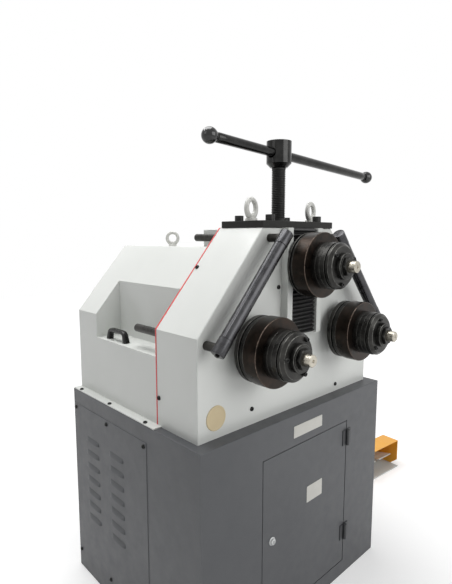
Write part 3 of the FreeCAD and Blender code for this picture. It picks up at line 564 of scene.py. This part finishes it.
# %% [markdown]
# ## The feed screw
#
# The big screw that presses the upper roll down has a trapezoid thread of 6 mm pitch. A thread is a
# wave that climbs one pitch in each turn, so on a grid of heights and angles it is one formula: the
# phase is height / pitch minus angle / 2 pi, and the radius follows the phase.

# %% Thread
def threaded_rows(low, high, thread_low, thread_high, radius, depth, pitch, steps):
    """radius - depth * tooth(height / pitch - angle / 2 pi); the tooth is a clipped triangle wave."""
    height = np.concatenate([[low], np.arange(thread_low, thread_high, pitch / 12), [thread_high, high]])
    angle = full_turn(steps)
    phase = (height[:, None] / pitch - angle[None] / (2 * np.pi)) % 1
    tooth = np.clip(2.4 * np.abs(2 * phase - 1) - 0.7, 0, 1)
    fade = np.clip(np.minimum(height - thread_low, thread_high - height) / pitch, 0, 1)
    return list(zip(height, radius - depth * tooth * fade[:, None]))


PITCH, THREAD_DEPTH = 0.006, 0.0023
screw_low, screw_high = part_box("feed_screw")
nut_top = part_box("screw_nut")[1].z
screw_radius = (screw_high.x - screw_low.x) / 2
screw_rows = threaded_rows(screw_low.z, screw_high.z, nut_top - 0.012, screw_high.z - 0.003,
                           screw_radius, THREAD_DEPTH, PITCH, 72)
screw_points, screw_faces = polar_rows(screw_rows, (0, centre_of("feed_screw")[1], 0), (0, 0, 1), 72)
make_piece("feed_screw_thread", screw_points, screw_faces, screw_steel, "feed_screw", "dark_steel",
           instead="feed_screw")
print("thread with", len(screw_points), "points")

# %% [markdown]
# ## The bellows
#
# Folded black cloth closes the slot above and below the sliding block. The pleats zigzag in depth,
# their crests are round, and no two are quite alike. The sheet is one closed loop of a profile
# carried across the slot, a little narrower in the valleys. Below the block it is pressed together
# as the block comes down; above the block it is drawn out.

# %% Pleated sheet
def pleated(low, high, front, valley, folds, half_width, sheet=0.0016, columns=17):
    """x = a * half_width, less in the valleys; depth and height zigzag, with a small swing per pleat."""
    pitch = (high - low) / folds
    k = np.arange(folds)
    crest = front + 0.0006 * np.sin(2.3 * k + 0.4)
    zigzag = [(valley, low)]
    for i in k:
        zigzag += [(crest[i], low + (i + 0.40) * pitch), (crest[i], low + (i + 0.60) * pitch),
                   (valley, low + (i + 1) * pitch)]
    outer, _ = rounded(zigzag, 0.0026, 3, closed=False)
    inner = outer + np.array([sheet, 0])
    loop = np.concatenate([outer, inner[::-1]])
    a = np.sin(np.linspace(-np.pi / 2, np.pi / 2, columns))[None]
    depth, height = loop[:, :1], loop[:, 1:]
    out = np.clip((valley - depth) / (valley - front), 0, 1)
    swing = 0.0007 * np.sin(1.7 * (height - low) / pitch) * a * np.sin(np.pi * (height - low) / (high - low))
    y = depth + out * 0.0035 * np.abs(a) ** 9
    x = a * (half_width - 0.0022 * (1 - out))
    points = np.stack([x, y, height + swing], -1)
    rows, n = len(loop), len(outer)
    i = np.arange(n - 1)
    rim = np.stack([i, i + 1, rows - 2 - i, rows - 1 - i], 1) * columns
    return points, [grid_faces(rows, columns, wrap_rows=True), rim, rim[:, ::-1] + columns - 1]


for name, folds in (("lower", 12), ("upper", 3)):
    low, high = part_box(f"{name}_bellows")
    points, faces = pleated(low.z, high.z, low.y, high.y - 0.002, folds, high.x)
    cloth = make_piece(f"{name}_pleats", points, faces, bellows_rubber, None, "bellows_black",
                       instead=f"{name}_bellows")
    if name == "lower":
        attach(cloth, "machine")
        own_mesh(cloth)
    else:
        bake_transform(cloth)
print("bellows pleated")

# %% [markdown]
# ## Ball knobs
#
# The ends of the bar carry black plastic balls. Each is a turned sphere that is cut flat where the
# bar enters, with a short collar there. The bar is not quite level, so the balls are placed from
# the box around both of them, and their axis is the line between them.

# %% Knobs
def ball_profile(radius, neck, steps=28):
    """A half circle that starts at the neck radius, with a short collar before it."""
    start = math.pi - math.asin(neck / radius)
    turn = np.linspace(start, 0, steps)
    ball = np.stack([radius * np.cos(turn), radius * np.sin(turn)], 1)
    collar = [(ball[0, 0] - 0.002, 0), (ball[0, 0] - 0.002, neck - 0.0006), (ball[0, 0] - 0.0014, neck)]
    return np.concatenate([collar, ball[:-1], [[radius, 0]]])


knob_low, knob_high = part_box("bar_knobs")
inset = 0.0225    # radius of the CAD's balls
left_ball = np.array([knob_low.x + inset, knob_low.y + inset, knob_high.z - inset])
right_ball = np.array([knob_high.x - inset, knob_high.y - inset, knob_low.z + inset])
outward = (right_ball - left_ball) / np.linalg.norm(right_ball - left_ball)
knob_parts = [turned(ball_profile(0.025, 0.0175), centre, way, 64, closed=False)
              for centre, way in ((left_ball, -outward), (right_ball, outward))]
make_piece("ball_knobs", *merge(knob_parts), knob_plastic, "tommy_bar", "knob_black", 50, "bar_knobs")

# %% [markdown]
# ## The bar and its hub
#
# In the photograph the bar is a little thicker than in the CAD, so it is turned anew, with a neck at
# each ball. The bar tips in its hole, so the hole in the hub needs room: the points on the rim of the
# bore are spread from its axis, y' = k y and z' = k z, and put back on the hub's cylinder, where
# x' = (R^2 - y'^2)^(1/2).

# %% Bar and hub
BAR, NECK, HUB, HUB_BORE, WIDE_BORE = 0.0156, 0.0130, 0.043, 0.0146, 0.0176
reach = np.linalg.norm(right_ball - left_ball) - 0.036
half_bar = [(0, 0), (0, NECK), (0.0080, NECK), (0.0092, BAR - 0.0005), (0.0104, BAR), (0.0500, BAR)]
bar_profile = half_bar + [(reach - along, radius) for along, radius in half_bar[::-1]]
make_piece("bar_turned", *turned(bar_profile, left_ball + 0.018 * outward, outward, 72, closed=False),
           bar_oxide, "tommy_bar", "dark_steel", 50, "tommy_bar")


def node_copy(node, name, finish):
    """A new object with a copy of a node's mesh."""
    mesh = nodes[node].data.copy()
    mesh.name = name
    mesh.materials.clear()
    mesh.materials.append(finish)
    piece = bpy.data.objects.new(name, mesh)
    bpy.context.scene.collection.objects.link(piece)
    return piece


def widened_bore(mesh, centre, bore, wide, skin):
    """Move the rim of the cross bore out to a larger radius, keeping it on the hub's cylinder."""
    points = np.empty(3 * len(mesh.vertices))
    mesh.vertices.foreach_get("co", points)
    points = points.reshape(-1, 3) - centre
    across = np.array([outward[0], outward[1], 0]) / math.hypot(outward[0], outward[1])
    aside = np.array([-across[1], across[0], 0])
    x, y, z = points @ across, points @ aside, points[:, 2]
    rim = np.hypot(y, z) < bore + 0.0003
    on_skin = rim & (np.abs(np.hypot(x, y) - skin) < 0.0006)
    spread = np.where(rim, wide / bore, 1)
    y, z = y * spread, z * spread
    x[on_skin] = (np.sign(x) * np.sqrt(np.abs(skin ** 2 - y ** 2)))[on_skin]
    points = x[:, None] * across + y[:, None] * aside + z[:, None] * [0, 0, 1] + centre
    mesh.vertices.foreach_set("co", points.ravel())
    print("hub rim points", int(rim.sum()), "on the skin", int(on_skin.sum()))


hub_at = np.array([0, centre_of("feed_screw")[1], 0])
share = -left_ball[0] / (right_ball[0] - left_ball[0])
hub_at[2] = left_ball[2] + share * (right_ball[2] - left_ball[2])
hub = node_copy("screw_hub", "hub_bored", bar_oxide)
widened_bore(hub.data, hub_at, HUB_BORE, WIDE_BORE, HUB)
hub.data.set_sharp_from_angle(angle=math.radians(30))
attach(hub, "feed_screw")
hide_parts("screw_hub")

# %% [markdown]
# ## Guide bars
#
# Two round bars slant across the face and keep a long workpiece away from the paint. Each is one
# bar between two slightly thicker heads, with a seam where they meet, and a fine groove runs along
# it. On a polar grid the seam is a row with a smaller radius and the groove a column.

# %% Guide bars
def guide_rows(length, head, radius, head_radius, groove_column, steps):
    """Stations along the bar with their radii; between the heads three columns are 2.4 mm deeper."""
    end = np.linspace(0, np.pi / 2, 4)
    nose = [(0.0025 * (1 - np.sin(t)), head_radius - 0.0025 * (1 - np.cos(t))) for t in end[::-1]]
    half = [(0.0, 0.0045), (0.0, 0.007), *[(a, r) for a, r in nose],
            (head - 0.0008, head_radius), (head - 0.0003, radius - 0.0012), (head + 0.0003, radius - 0.0012),
            (head + 0.0008, radius), (head + 0.004, radius)]
    rows = [(along, np.full(steps, r)) for along, r in half]
    rows += [(length - along, np.full(steps, r)) for along, r in half[::-1]]
    cut = np.zeros(steps)
    cut[(groove_column + np.arange(3)) % steps] = 0.0024
    return [(a, r - cut * (head + 0.003 < a < length - head - 0.003)) for a, r in rows]


GUIDE_STEPS, TO_CAMERA, PIN, OVERHANG = 96, (-0.90, -0.22, 0.35), 0.0135, 0.020
guide_ends = {}
for name, mirror in (("left", -1), ("right", 1)):
    pins_low, pins_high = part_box(f"{name}_guide_pins")
    inner, outer = sorted((abs(pins_low.x), abs(pins_high.x)))
    ends = [np.array([mirror * (outer - PIN), pins_low.y, pins_low.z + PIN]),
            np.array([mirror * (inner + PIN), pins_low.y, pins_high.z - PIN])]
    guide_ends[name] = ends
    length = np.linalg.norm(ends[1] - ends[0])
    axis = (ends[1] - ends[0]) / length
    start, length = ends[0] - OVERHANG * axis, length + 2 * OVERHANG
    facing = spokes(axis, GUIDE_STEPS)[1] @ TO_CAMERA
    rows = guide_rows(length, 0.050, 0.020, 0.021, int(np.argmax(facing)), GUIDE_STEPS)
    points, faces = polar_rows(rows, start, axis, GUIDE_STEPS)
    make_piece(f"{name}_guide_surface", points, faces, guide_steel, f"{name}_guide", "dark_steel", 40,
               f"{name}_guide_bar")
    socket_screws(f"{name}_guide_screw", [(start, -axis)], 0.0065, 0.005, 0.12, f"{name}_guide")
print("guide bars", round(length, 3), "long")

# %% Guide pins
for name, ends in guide_ends.items():
    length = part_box(f"{name}_guide_pins")[1].y - ends[0][1] - 0.006
    profile = [(0, 0), (0, PIN - 0.0005), (0.0005, PIN), (length - 0.0035, PIN), (length, PIN - 0.0035),
               (length, 0)]
    stems = [turned(profile, end, (0, 1, 0), 56, closed=False) for end in ends]
    make_piece(f"{name}_pin_surface", *merge(stems), pin_oxide, f"{name}_guide", "dark_steel", 35,
               f"{name}_guide_pins")

# %% [markdown]
# ## Lifting eyes
#
# A forged eye bolt is a ring that swells into its round foot. The ring is a torus whose section
# grows towards the bottom, and the foot is turned, with a concave flare up into the ring.

# %% Eye bolts
def eye_bolt(base, turn, ring, section, foot, foot_height):
    """Ring: (ring + s cos t) along the spoke at the angle a, and s sin t across; s swells at the foot."""
    a = full_turn(64)[:, None]
    t = full_turn(20)[None, :]
    flat, across = np.array([math.cos(turn), math.sin(turn), 0]), np.array([-math.sin(turn), math.cos(turn), 0])
    up = np.array([0, 0, 1.0])
    s = section * (1 + 0.28 * ((1 - np.cos(a)) / 2) ** 5)
    reach = (ring + s * np.cos(t))[..., None]
    spoke = np.sin(a)[..., None] * flat + np.cos(a)[..., None] * up
    centre = np.asarray(base) + up * (foot_height / 2 + ring + section)
    points = (centre + reach * spoke + (s * np.sin(t))[..., None] * across).reshape(-1, 3)
    ring_part = (points, [grid_faces(64, 20, wrap_rows=True, wrap_columns=True)])
    neck = 0.9 * section
    flare = [(foot_height + neck * k / 5, foot - 0.0015 - (foot - neck) * math.sin(0.1 * math.pi * k) ** 0.7)
             for k in range(1, 6)]
    profile = [(0, 0), (0, foot), (foot_height - 0.0015, foot), (foot_height, foot - 0.0012), *flare,
               (foot_height + neck, 0)]
    return merge([ring_part, turned(profile, base, (0, 0, 1), 48, closed=False)])


def eye_pair(name, node, across, turns, ring, section, foot, foot_height):
    low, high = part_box(node)
    parts = [eye_bolt((sign * across, (low.y + high.y) / 2, low.z), math.radians(turn), ring, section, foot,
                      foot_height) for sign, turn in zip((-1, 1), turns)]
    make_piece(name, *merge(parts), eye_paint, "machine", "eye_grey", 50, node)


eye_pair("front_eye_bolts", "front_eyes", 0.158, (12, 12), 0.028, 0.008, 0.020, 0.009)
eye_pair("rear_eye_bolts", "rear_eyes", 0.158, (-43, 43), 0.021, 0.006, 0.015, 0.007)

# %% [markdown]
# ## Bridge handles
#
# The covers are lifted by black moulded bridge handles. A handle is one section carried along a bow:
# broad at the feet, slim in the middle, and rounded like a bar of soap. The section is a
# superellipse, which lies between an ellipse and a rectangle.

# %% Handles
def swept_bow(centre, path, half_thickness, half_width, steps=36, power=3.2):
    """Superellipse |a|^p + |b|^p = 1 in the plane across the path; the path lies in Y and Z."""
    ahead = np.gradient(path, axis=0)
    ahead /= np.linalg.norm(ahead, axis=1, keepdims=True)
    side_way = np.stack([-ahead[:, 1], ahead[:, 0]], 1)
    t = full_turn(steps)
    a = np.sign(np.cos(t)) * np.abs(np.cos(t)) ** (2 / power)
    b = np.sign(np.sin(t)) * np.abs(np.sin(t)) ** (2 / power)
    flat = path[:, None, :] + half_thickness[:, None, None] * b[None, :, None] * side_way[:, None, :]
    wide = np.broadcast_to(half_width[:, None] * a, flat.shape[:2])
    points = np.stack([wide, flat[..., 0], flat[..., 1]], -1) + np.asarray(centre)
    around, count = np.arange(steps)[None], (len(path) - 1) * steps
    faces = [grid_faces(len(path), steps, wrap_columns=True), around[:, ::-1], around + count]
    return points.reshape(-1, 3), faces


handle_low, handle_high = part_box("bridge_handles")
bow, _ = rounded([(-0.055, 0), (-0.0475, 0.0345), (0.0475, 0.0345), (0.055, 0)], [0, 0.018, 0.018, 0], 9,
                 closed=False)
stations = np.concatenate([bow[:1], (bow[:1] + bow[1:2]) / 2, bow[1:-1], (bow[-1:] + bow[-2:-1]) / 2, bow[-1:]])
rise = np.clip(stations[:, 1] / 0.0345, 0, 1)
thick = 0.0120 - 0.0048 * rise ** 0.8
wide = 0.0112 - 0.0010 * rise
middle = (handle_low.y + handle_high.y) / 2
bows = [swept_bow((sign * (handle_high.x - 0.011), middle, handle_low.z), stations, thick, wide)
        for sign in (-1, 1)]
make_piece("cover_handles", *merge(bows), handle_plastic, "machine", "knob_black", 60, "bridge_handles")
print("handles rise", round(float(stations[:, 1].max() + thick.min()), 4))

# %% [markdown]
# ## Screws in the sheets
#
# Black button-head screws hold the face plates, the seam, the covers and the louvred panels. They
# share one polar surface, set down at each place with the head pointing along the sheet's normal.

# %% Bolts and button heads
bolt_low, bolt_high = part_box("plate_bolts")
bolt_across, bolt_in = bolt_high.x - 0.015, 0.015
bolt_seats = [((x, y, bolt_low.z), (0, 0, 1)) for x in (-bolt_across, bolt_across)
              for y in (bolt_low.y + bolt_in, bolt_high.y - bolt_in)]
socket_screws("top_plate_bolts", bolt_seats, 0.015, 0.020, 0.10, "machine", "dark_steel", 35, "plate_bolts")

STRIP_STATIONS, PANEL_STATIONS = (0.234, 0.460, 0.674), (0.232, 0.470, 0.706)
PANEL_ROWS, BACK_ROWS = (0.072, 0.674), (0.04, 0.26, 0.48, 0.70)
slant = np.array([0.311, 0, 0.267]) / math.hypot(0.311, 0.267)
strip_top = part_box("foot_strips")[1].z
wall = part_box("cabinet_right_side")[1].x
panel_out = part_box("cabinet_back")[1].y
seats = [((x, face, deck + z), (0, -1, 0)) for x, z in ((-0.106, 0.429), (-0.228, 0.051), (0.238, 0.028))]
for sign in (-1, 1):
    seats += [((sign * side, face + 0.186, deck + 0.093), (sign, 0, 0)),
              ((sign * 0.292, face + 0.186, deck + 0.493), slant * [sign, 1, 1])]
    seats += [((sign * (side + 0.022), face + y, strip_top), (0, 0, 1)) for y in STRIP_STATIONS]
    seats += [((sign * (wall + 0.002), face + y, deck - z), (sign, 0, 0))
              for y in PANEL_STATIONS for z in PANEL_ROWS]
    seats += [((sign * 0.460, panel_out, deck - z), (0, 1, 0)) for z in BACK_ROWS]
socket_screws("button_screws", seats, 0.0072, 0.0048, 0.5, "machine", "dark_steel", 50)
print(len(seats), "button heads")

# %% [markdown]
# ## Bare plates
#
# A small plate sits on the front of the cabinet and another on the door. Both are left bare. Each is
# a rounded rectangle raised by a millimetre, with its edge broken.

# %% Plates
def bare_plate(name, low, high, front, thickness, radius, body, material):
    """Rows of one outline: on the sheet, up the edge, and drawn in by a third of a millimetre on top."""
    (x0, z0), (x1, z1) = low, high
    outline, _ = rounded([(x0, z0), (x1, z0), (x1, z1), (x0, z1)], radius, 6)
    middle = np.array([(x0 + x1) / 2, (z0 + z1) / 2])
    shrink = 1 - 0.0007 / np.abs(outline - middle).max(0)
    rows = [(outline, 0.0), (outline, thickness * 0.7), (middle + (outline - middle) * shrink, thickness)]
    points = np.stack([np.stack([flat[:, 0], np.full(len(flat), front - rise), flat[:, 1]], 1)
                       for flat, rise in rows])
    around, count = np.arange(len(outline))[None], 2 * len(outline)
    faces = [grid_faces(3, len(outline), wrap_columns=True), around[:, ::-1], around + count]
    make_piece(name, points, faces, material, body, "eye_grey", 40)


front_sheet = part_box("cabinet_front_top")[0].y
door_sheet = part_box("cabinet_door")[0].y
bare_plate("front_plate", (-0.072, deck - 0.081), (0.088, deck - 0.040), front_sheet, 0.0012, 0.003,
           "machine", blank_label)
bare_plate("door_plate", (0.007, deck - 0.344), (0.097, deck - 0.284), door_sheet, 0.0008, 0.004,
           "door", blank_label)

# %% [markdown]
# ## Louvred panels
#
# Both sides of the cabinet have a sheet with two columns of pressed louvres that let the heat of the
# motor out. A louvre is a bulge that rises slowly from its top edge and ends in a cut along the
# bottom. As a height field over the sheet it is the product of a curve down the louvre and one along
# it, and the cut is two rows that lie almost together. An attribute marks the cut there, and black is
# painted on it as the shade inside the louvre.

# %% Louvre height field
def louvre_height(across, down, proud):
    """proud * (1 - q^1.4) * (1 - |s|^4)^(1/2), q from the lip up and s from the middle outward."""
    q, s = np.clip(down, 0, 1), np.clip(np.abs(across), 0, 1)
    inside = (down >= 0) & (down <= 1) & (np.abs(across) <= 1)
    return proud * (1 - q ** 1.4) * np.sqrt(1 - s ** 4) * inside


def rim_of(rows, columns):
    """Indices around the border of a grid, once around, in the sense that closes it."""
    index = np.arange(rows * columns).reshape(rows, columns)
    return np.concatenate([index[0, :-1], index[:-1, -1], index[-1, :0:-1], index[:0:-1, 0]])[None, ::-1]


def louvre_panel(sign, name):
    low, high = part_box(f"louvre_panel_{name}")
    sheet, half_length, height, proud = 0.002, 0.046, 0.016, 0.0068
    down = np.concatenate([[-0.0007, -0.0004, 0.0, 0.0002], height * np.sin(np.linspace(0.08, np.pi / 2, 12)),
                           [height + 0.0006]])
    feet = deck - 0.179 - 0.052 * np.arange(7)
    s = np.sin(np.linspace(-np.pi / 2, np.pi / 2, 29))
    middles = (face + 0.406, face + 0.578)
    lip = np.array([0, 0.0002, 0.0014])
    z = np.sort(np.concatenate([low.z + lip, high.z - lip, (feet[:, None] + down).ravel()]))
    s = np.append(s, (-1.012, 1.012))
    y = np.sort(np.concatenate([low.y + lip, high.y - lip, *[m + half_length * s for m in middles]]))
    rise = np.full((len(z), len(y)), sheet)
    dark = np.zeros_like(rise)
    for foot in feet:
        q = (z - foot) / height
        for m in middles:
            s_here = (y - m) / half_length
            rise += louvre_height(s_here[None], q[:, None], proud)
            # Painted shade: the row just under each lip is marked, to be coloured black as the shade inside the
            # cut.
            near = np.abs(z - foot + 0.0004) < 0.00005
            dark += near[:, None] * (np.abs(s_here) < 0.97)[None]
    edge = np.minimum(np.minimum(z - low.z, high.z - z)[:, None], np.minimum(y - low.y, high.y - y)[None])
    rise = np.where(edge < 1e-6, 0.0, np.where(edge < 0.0006, sheet * 0.45, rise))
    points = np.stack(np.broadcast_arrays(sign * (wall + rise), y, z[:, None]), -1)
    faces = [grid_faces(len(z), len(y)), rim_of(len(z), len(y))]
    panel = make_piece(f"{name}_louvres", points, faces, louvre_paint, "machine", "cabinet_grey", 40,
                       f"louvre_panel_{name}")
    layer = panel.data.attributes.new("painted_opening_shade", "FLOAT", "POINT")
    layer.data.foreach_set("value", dark.astype(np.float32).ravel())
    return len(faces[0])


def louvre_finish():
    """The cabinet's enamel, turned black where the attribute marks a louvre's cut: painted shade."""
    material = cabinet_paint.copy()
    material.name = "louvre_enamel"
    tree = material.node_tree
    shader = tree.nodes["Principled BSDF"]
    coat = shader.inputs["Base Color"].links[0].from_socket
    # Painted shade: black where the attribute marks the cut under a lip.
    painted_opening_shade = add_node(tree, "Attribute", attribute_name="painted_opening_shade").outputs["Fac"]
    mixed = add_node(tree, "Mix", {"Factor": painted_opening_shade, "A": coat, "B": (0.004, 0.004, 0.004, 1)}, data_type="RGBA")
    tree.links.new(mixed.outputs["Result"], shader.inputs["Base Color"])
    return material


louvre_paint = louvre_finish()
print("louvre panels", louvre_panel(-1, "left"), louvre_panel(1, "right"), "faces")

# %% [markdown]
# ## Cap and lock
#
# A beige plastic cap closes a hole low on the face, and the door has a round lock with a key slot.
# Both are turned: the cap with a raised rim and a soft dish, the lock with a flange and a plug.

# %% Cap and lock
cap_at = centre_of("inspection_cap")
cap_at[1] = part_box("inspection_cap")[1].y
cap_profile = [(0, 0), (0, 0.038), (0.0012, 0.038), (0.0021, 0.0374), (0.0025, 0.0362), (0.0025, 0.0345),
               (0.0019, 0.0335), (0.0014, 0.028), (0.0010, 0.014), (0.0009, 0)]
make_piece("face_cap", *turned(cap_profile, cap_at, (0, -1, 0), 96, closed=False), cap_finish,
           "machine", "cap_beige", instead="inspection_cap")

lock_low, lock_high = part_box("door_lock")
lock_at = centre_of("door_lock")
lock_at[1] = lock_high.y
lock_profile = [(0, 0), (0, 0.014), (0.0022, 0.014), (0.0030, 0.0132), (0.0032, 0.0112), (0.0032, 0.0102),
                (0.0080, 0.0100), (0.0088, 0.0092), (0.0090, 0.0080), (0.0090, 0)]
barrel = turned(lock_profile, lock_at, (0, -1, 0), 64, closed=False)
make_piece("lock_barrel", *barrel, zinc, "door", "dark_steel", 50, "door_lock")
# The key slot is a thin dark strip laid on the plug: painted shade where the keyway leads into the lock.
bare_plate("lock_slot_painted_shade", (lock_at[0] - 0.0009, lock_at[2] - 0.0055), (lock_at[0] + 0.0009, lock_at[2] + 0.0055),
           lock_low.y, 0.0002, 0.0008, "door", screw_steel)

# %% [markdown]
# ## The foot switch
#
# Its hood is folded from thick sheet, so all edges are rounded. That surface is a copy of the CAD
# node with its triangles merged and a Bevel on the edges. The treadles get a ribbed sole: a height
# field of cosine ridges across each plate.

# %% Hood and soles
def softened_copy(node, name, width, finish, body):
    """The node's mesh, merged and with coplanar triangles joined, then bevelled by its modifier."""
    piece = node_copy(node, name, finish)
    mesh = piece.data
    shell = bmesh.new()
    shell.from_mesh(mesh)
    bmesh.ops.remove_doubles(shell, verts=shell.verts, dist=0.00001)
    bmesh.ops.dissolve_limit(shell, angle_limit=math.radians(1), verts=shell.verts, edges=shell.edges)
    shell.to_mesh(mesh)
    shell.free()
    bevel = piece.modifiers.new("edges", "BEVEL")
    bevel.width, bevel.segments, bevel.limit_method, bevel.angle_limit = width, 3, "ANGLE", math.radians(35)
    bevel.harden_normals = False
    mesh.set_sharp_from_angle(angle=math.radians(35))
    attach(piece, body)
    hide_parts(node)


softened_copy("cabinet_door", "door_skin", 0.0016, cabinet_paint, "door")
softened_copy("pedal_hood", "hood_folded", 0.0012, hood_paint, "machine")
softened_copy("pedal_base", "base_sheet", 0.0012, treadle_paint, "machine")

hood_corner, hood_turn = np.array([1.243, -0.132, 0.0]), math.radians(-5)
hood_x = np.array([math.cos(hood_turn), math.sin(hood_turn), 0])
hood_y = np.array([-math.sin(hood_turn), math.cos(hood_turn), 0])
tread_along = np.array([0.118, -0.0294]) / math.hypot(0.118, 0.0294)
for name, start in (("left", -0.284), ("right", -0.134)):
    along = np.linspace(0.004, 0.100, 145)
    across = np.array([0.004, 0.0046, 0.006, 0.112, 0.1134, 0.114]) + start
    ridge = 0.0012 * (0.5 - 0.5 * np.cos(2 * np.pi * (along - 0.004) / 0.008)) ** 0.6
    rise = ridge[:, None] * np.array([0, 0.6, 1, 1, 0.6, 0]) - 0.0002
    rise[[0, -1]] = rise[:, [0, -1]] = -0.0006
    depth_way = 0.042 + along[:, None] * tread_along[0] - rise * tread_along[1]
    up_way = 0.0694 + along[:, None] * tread_along[1] + rise * tread_along[0]
    points = (hood_corner + across[None, :, None] * hood_x + depth_way[..., None] * hood_y
              + up_way[..., None] * np.array([0, 0, 1.0]))
    make_piece(f"{name}_sole", points, [grid_faces(145, 6), rim_of(145, 6)], treadle_paint,
               f"{name}_treadle", "pedal_grey")
print("foot switch dressed")

# %% [markdown]
# ## Floor and light
#
# The photograph has no background, so the floor and the world are plain and pale. The head is
# brightest on its slanted shoulders and on top, so the main light is a wide soft one overhead, with
# another in front, a weak one at the left, and a strip behind that glints on the rims of the rolls.

# %% Stage
def seen_directly(tree, low, high):
    """A value that is high for rays from the camera, mirrors and glass, and low for all others."""
    rays = add_node(tree, "LightPath").outputs
    seen = combine(tree, "MAXIMUM", rays["Is Camera Ray"], rays["Is Glossy Ray"])
    return stretch(tree, combine(tree, "MAXIMUM", seen, rays["Is Transmission Ray"]), low, high, 0, 1)


floor_mesh = bpy.data.meshes.new("floor")
floor_mesh.from_pydata([(-9, -9, 0), (9, -9, 0), (9, 9, 0), (-9, 9, 0)], [], [(0, 1, 2, 3)])
floor_paper, floor_tree, floor_shader = new_finish("white_paper", Roughness=0.95)
floor_shader.inputs["Base Color"].default_value = (0.80, 0.80, 0.80, 1)
floor_shader.inputs["Emission Color"].default_value = (1, 1, 1, 1)
distance = add_node(floor_tree, "VectorMath", {0: place_of(floor_tree)}, operation="LENGTH").outputs["Value"]
glow = stretch(floor_tree, distance, 0.34, 0.86, 1.0, 4.5)
glow = combine(floor_tree, "MULTIPLY", glow, seen_directly(floor_tree, 0.0, 1.0))
floor_tree.links.new(glow, floor_shader.inputs["Emission Strength"])
floor_mesh.materials.append(floor_paper)
floor = bpy.data.objects.new("floor", floor_mesh)
bpy.context.scene.collection.objects.link(floor)


def area_light(name, place, target, size, power):
    light = bpy.data.lights.new(name, "AREA")
    light.shape, light.energy = "RECTANGLE", power
    light.size, light.size_y = size
    lamp = bpy.data.objects.new(name, light)
    lamp.location = place
    aim = np.array(target, float) - np.array(place, float)
    lamp.rotation_euler = (math.atan2(math.hypot(aim[0], aim[1]), -aim[2]), 0, math.atan2(-aim[0], aim[1]))
    bpy.context.scene.collection.objects.link(lamp)


area_light("overhead", (-0.3, 0.4, 4.2), (0, 0, 1.0), (2.3, 2.3), 106)
area_light("front", (0.9, -3.9, 2.6), (0, 0, 0.9), (3.2, 2.8), 88)
area_light("left", (-3.3, 0.4, 3.0), (-0.3, 0.0, 1.15), (1.6, 1.6), 11)
area_light("strip", (-0.8, 1.5, 3.5), (0, -0.4, 1.1), (2.4, 0.3), 17)

world = bpy.data.worlds.new("plain_white")
world.use_nodes = True
bpy.context.scene.world = world
background = world.node_tree.nodes["Background"]
background.inputs["Color"].default_value = (1, 1, 1, 1)
world.node_tree.links.new(seen_directly(world.node_tree, 0.22, 1.0), background.inputs["Strength"])
bpy.context.scene.view_settings.view_transform = "Standard"
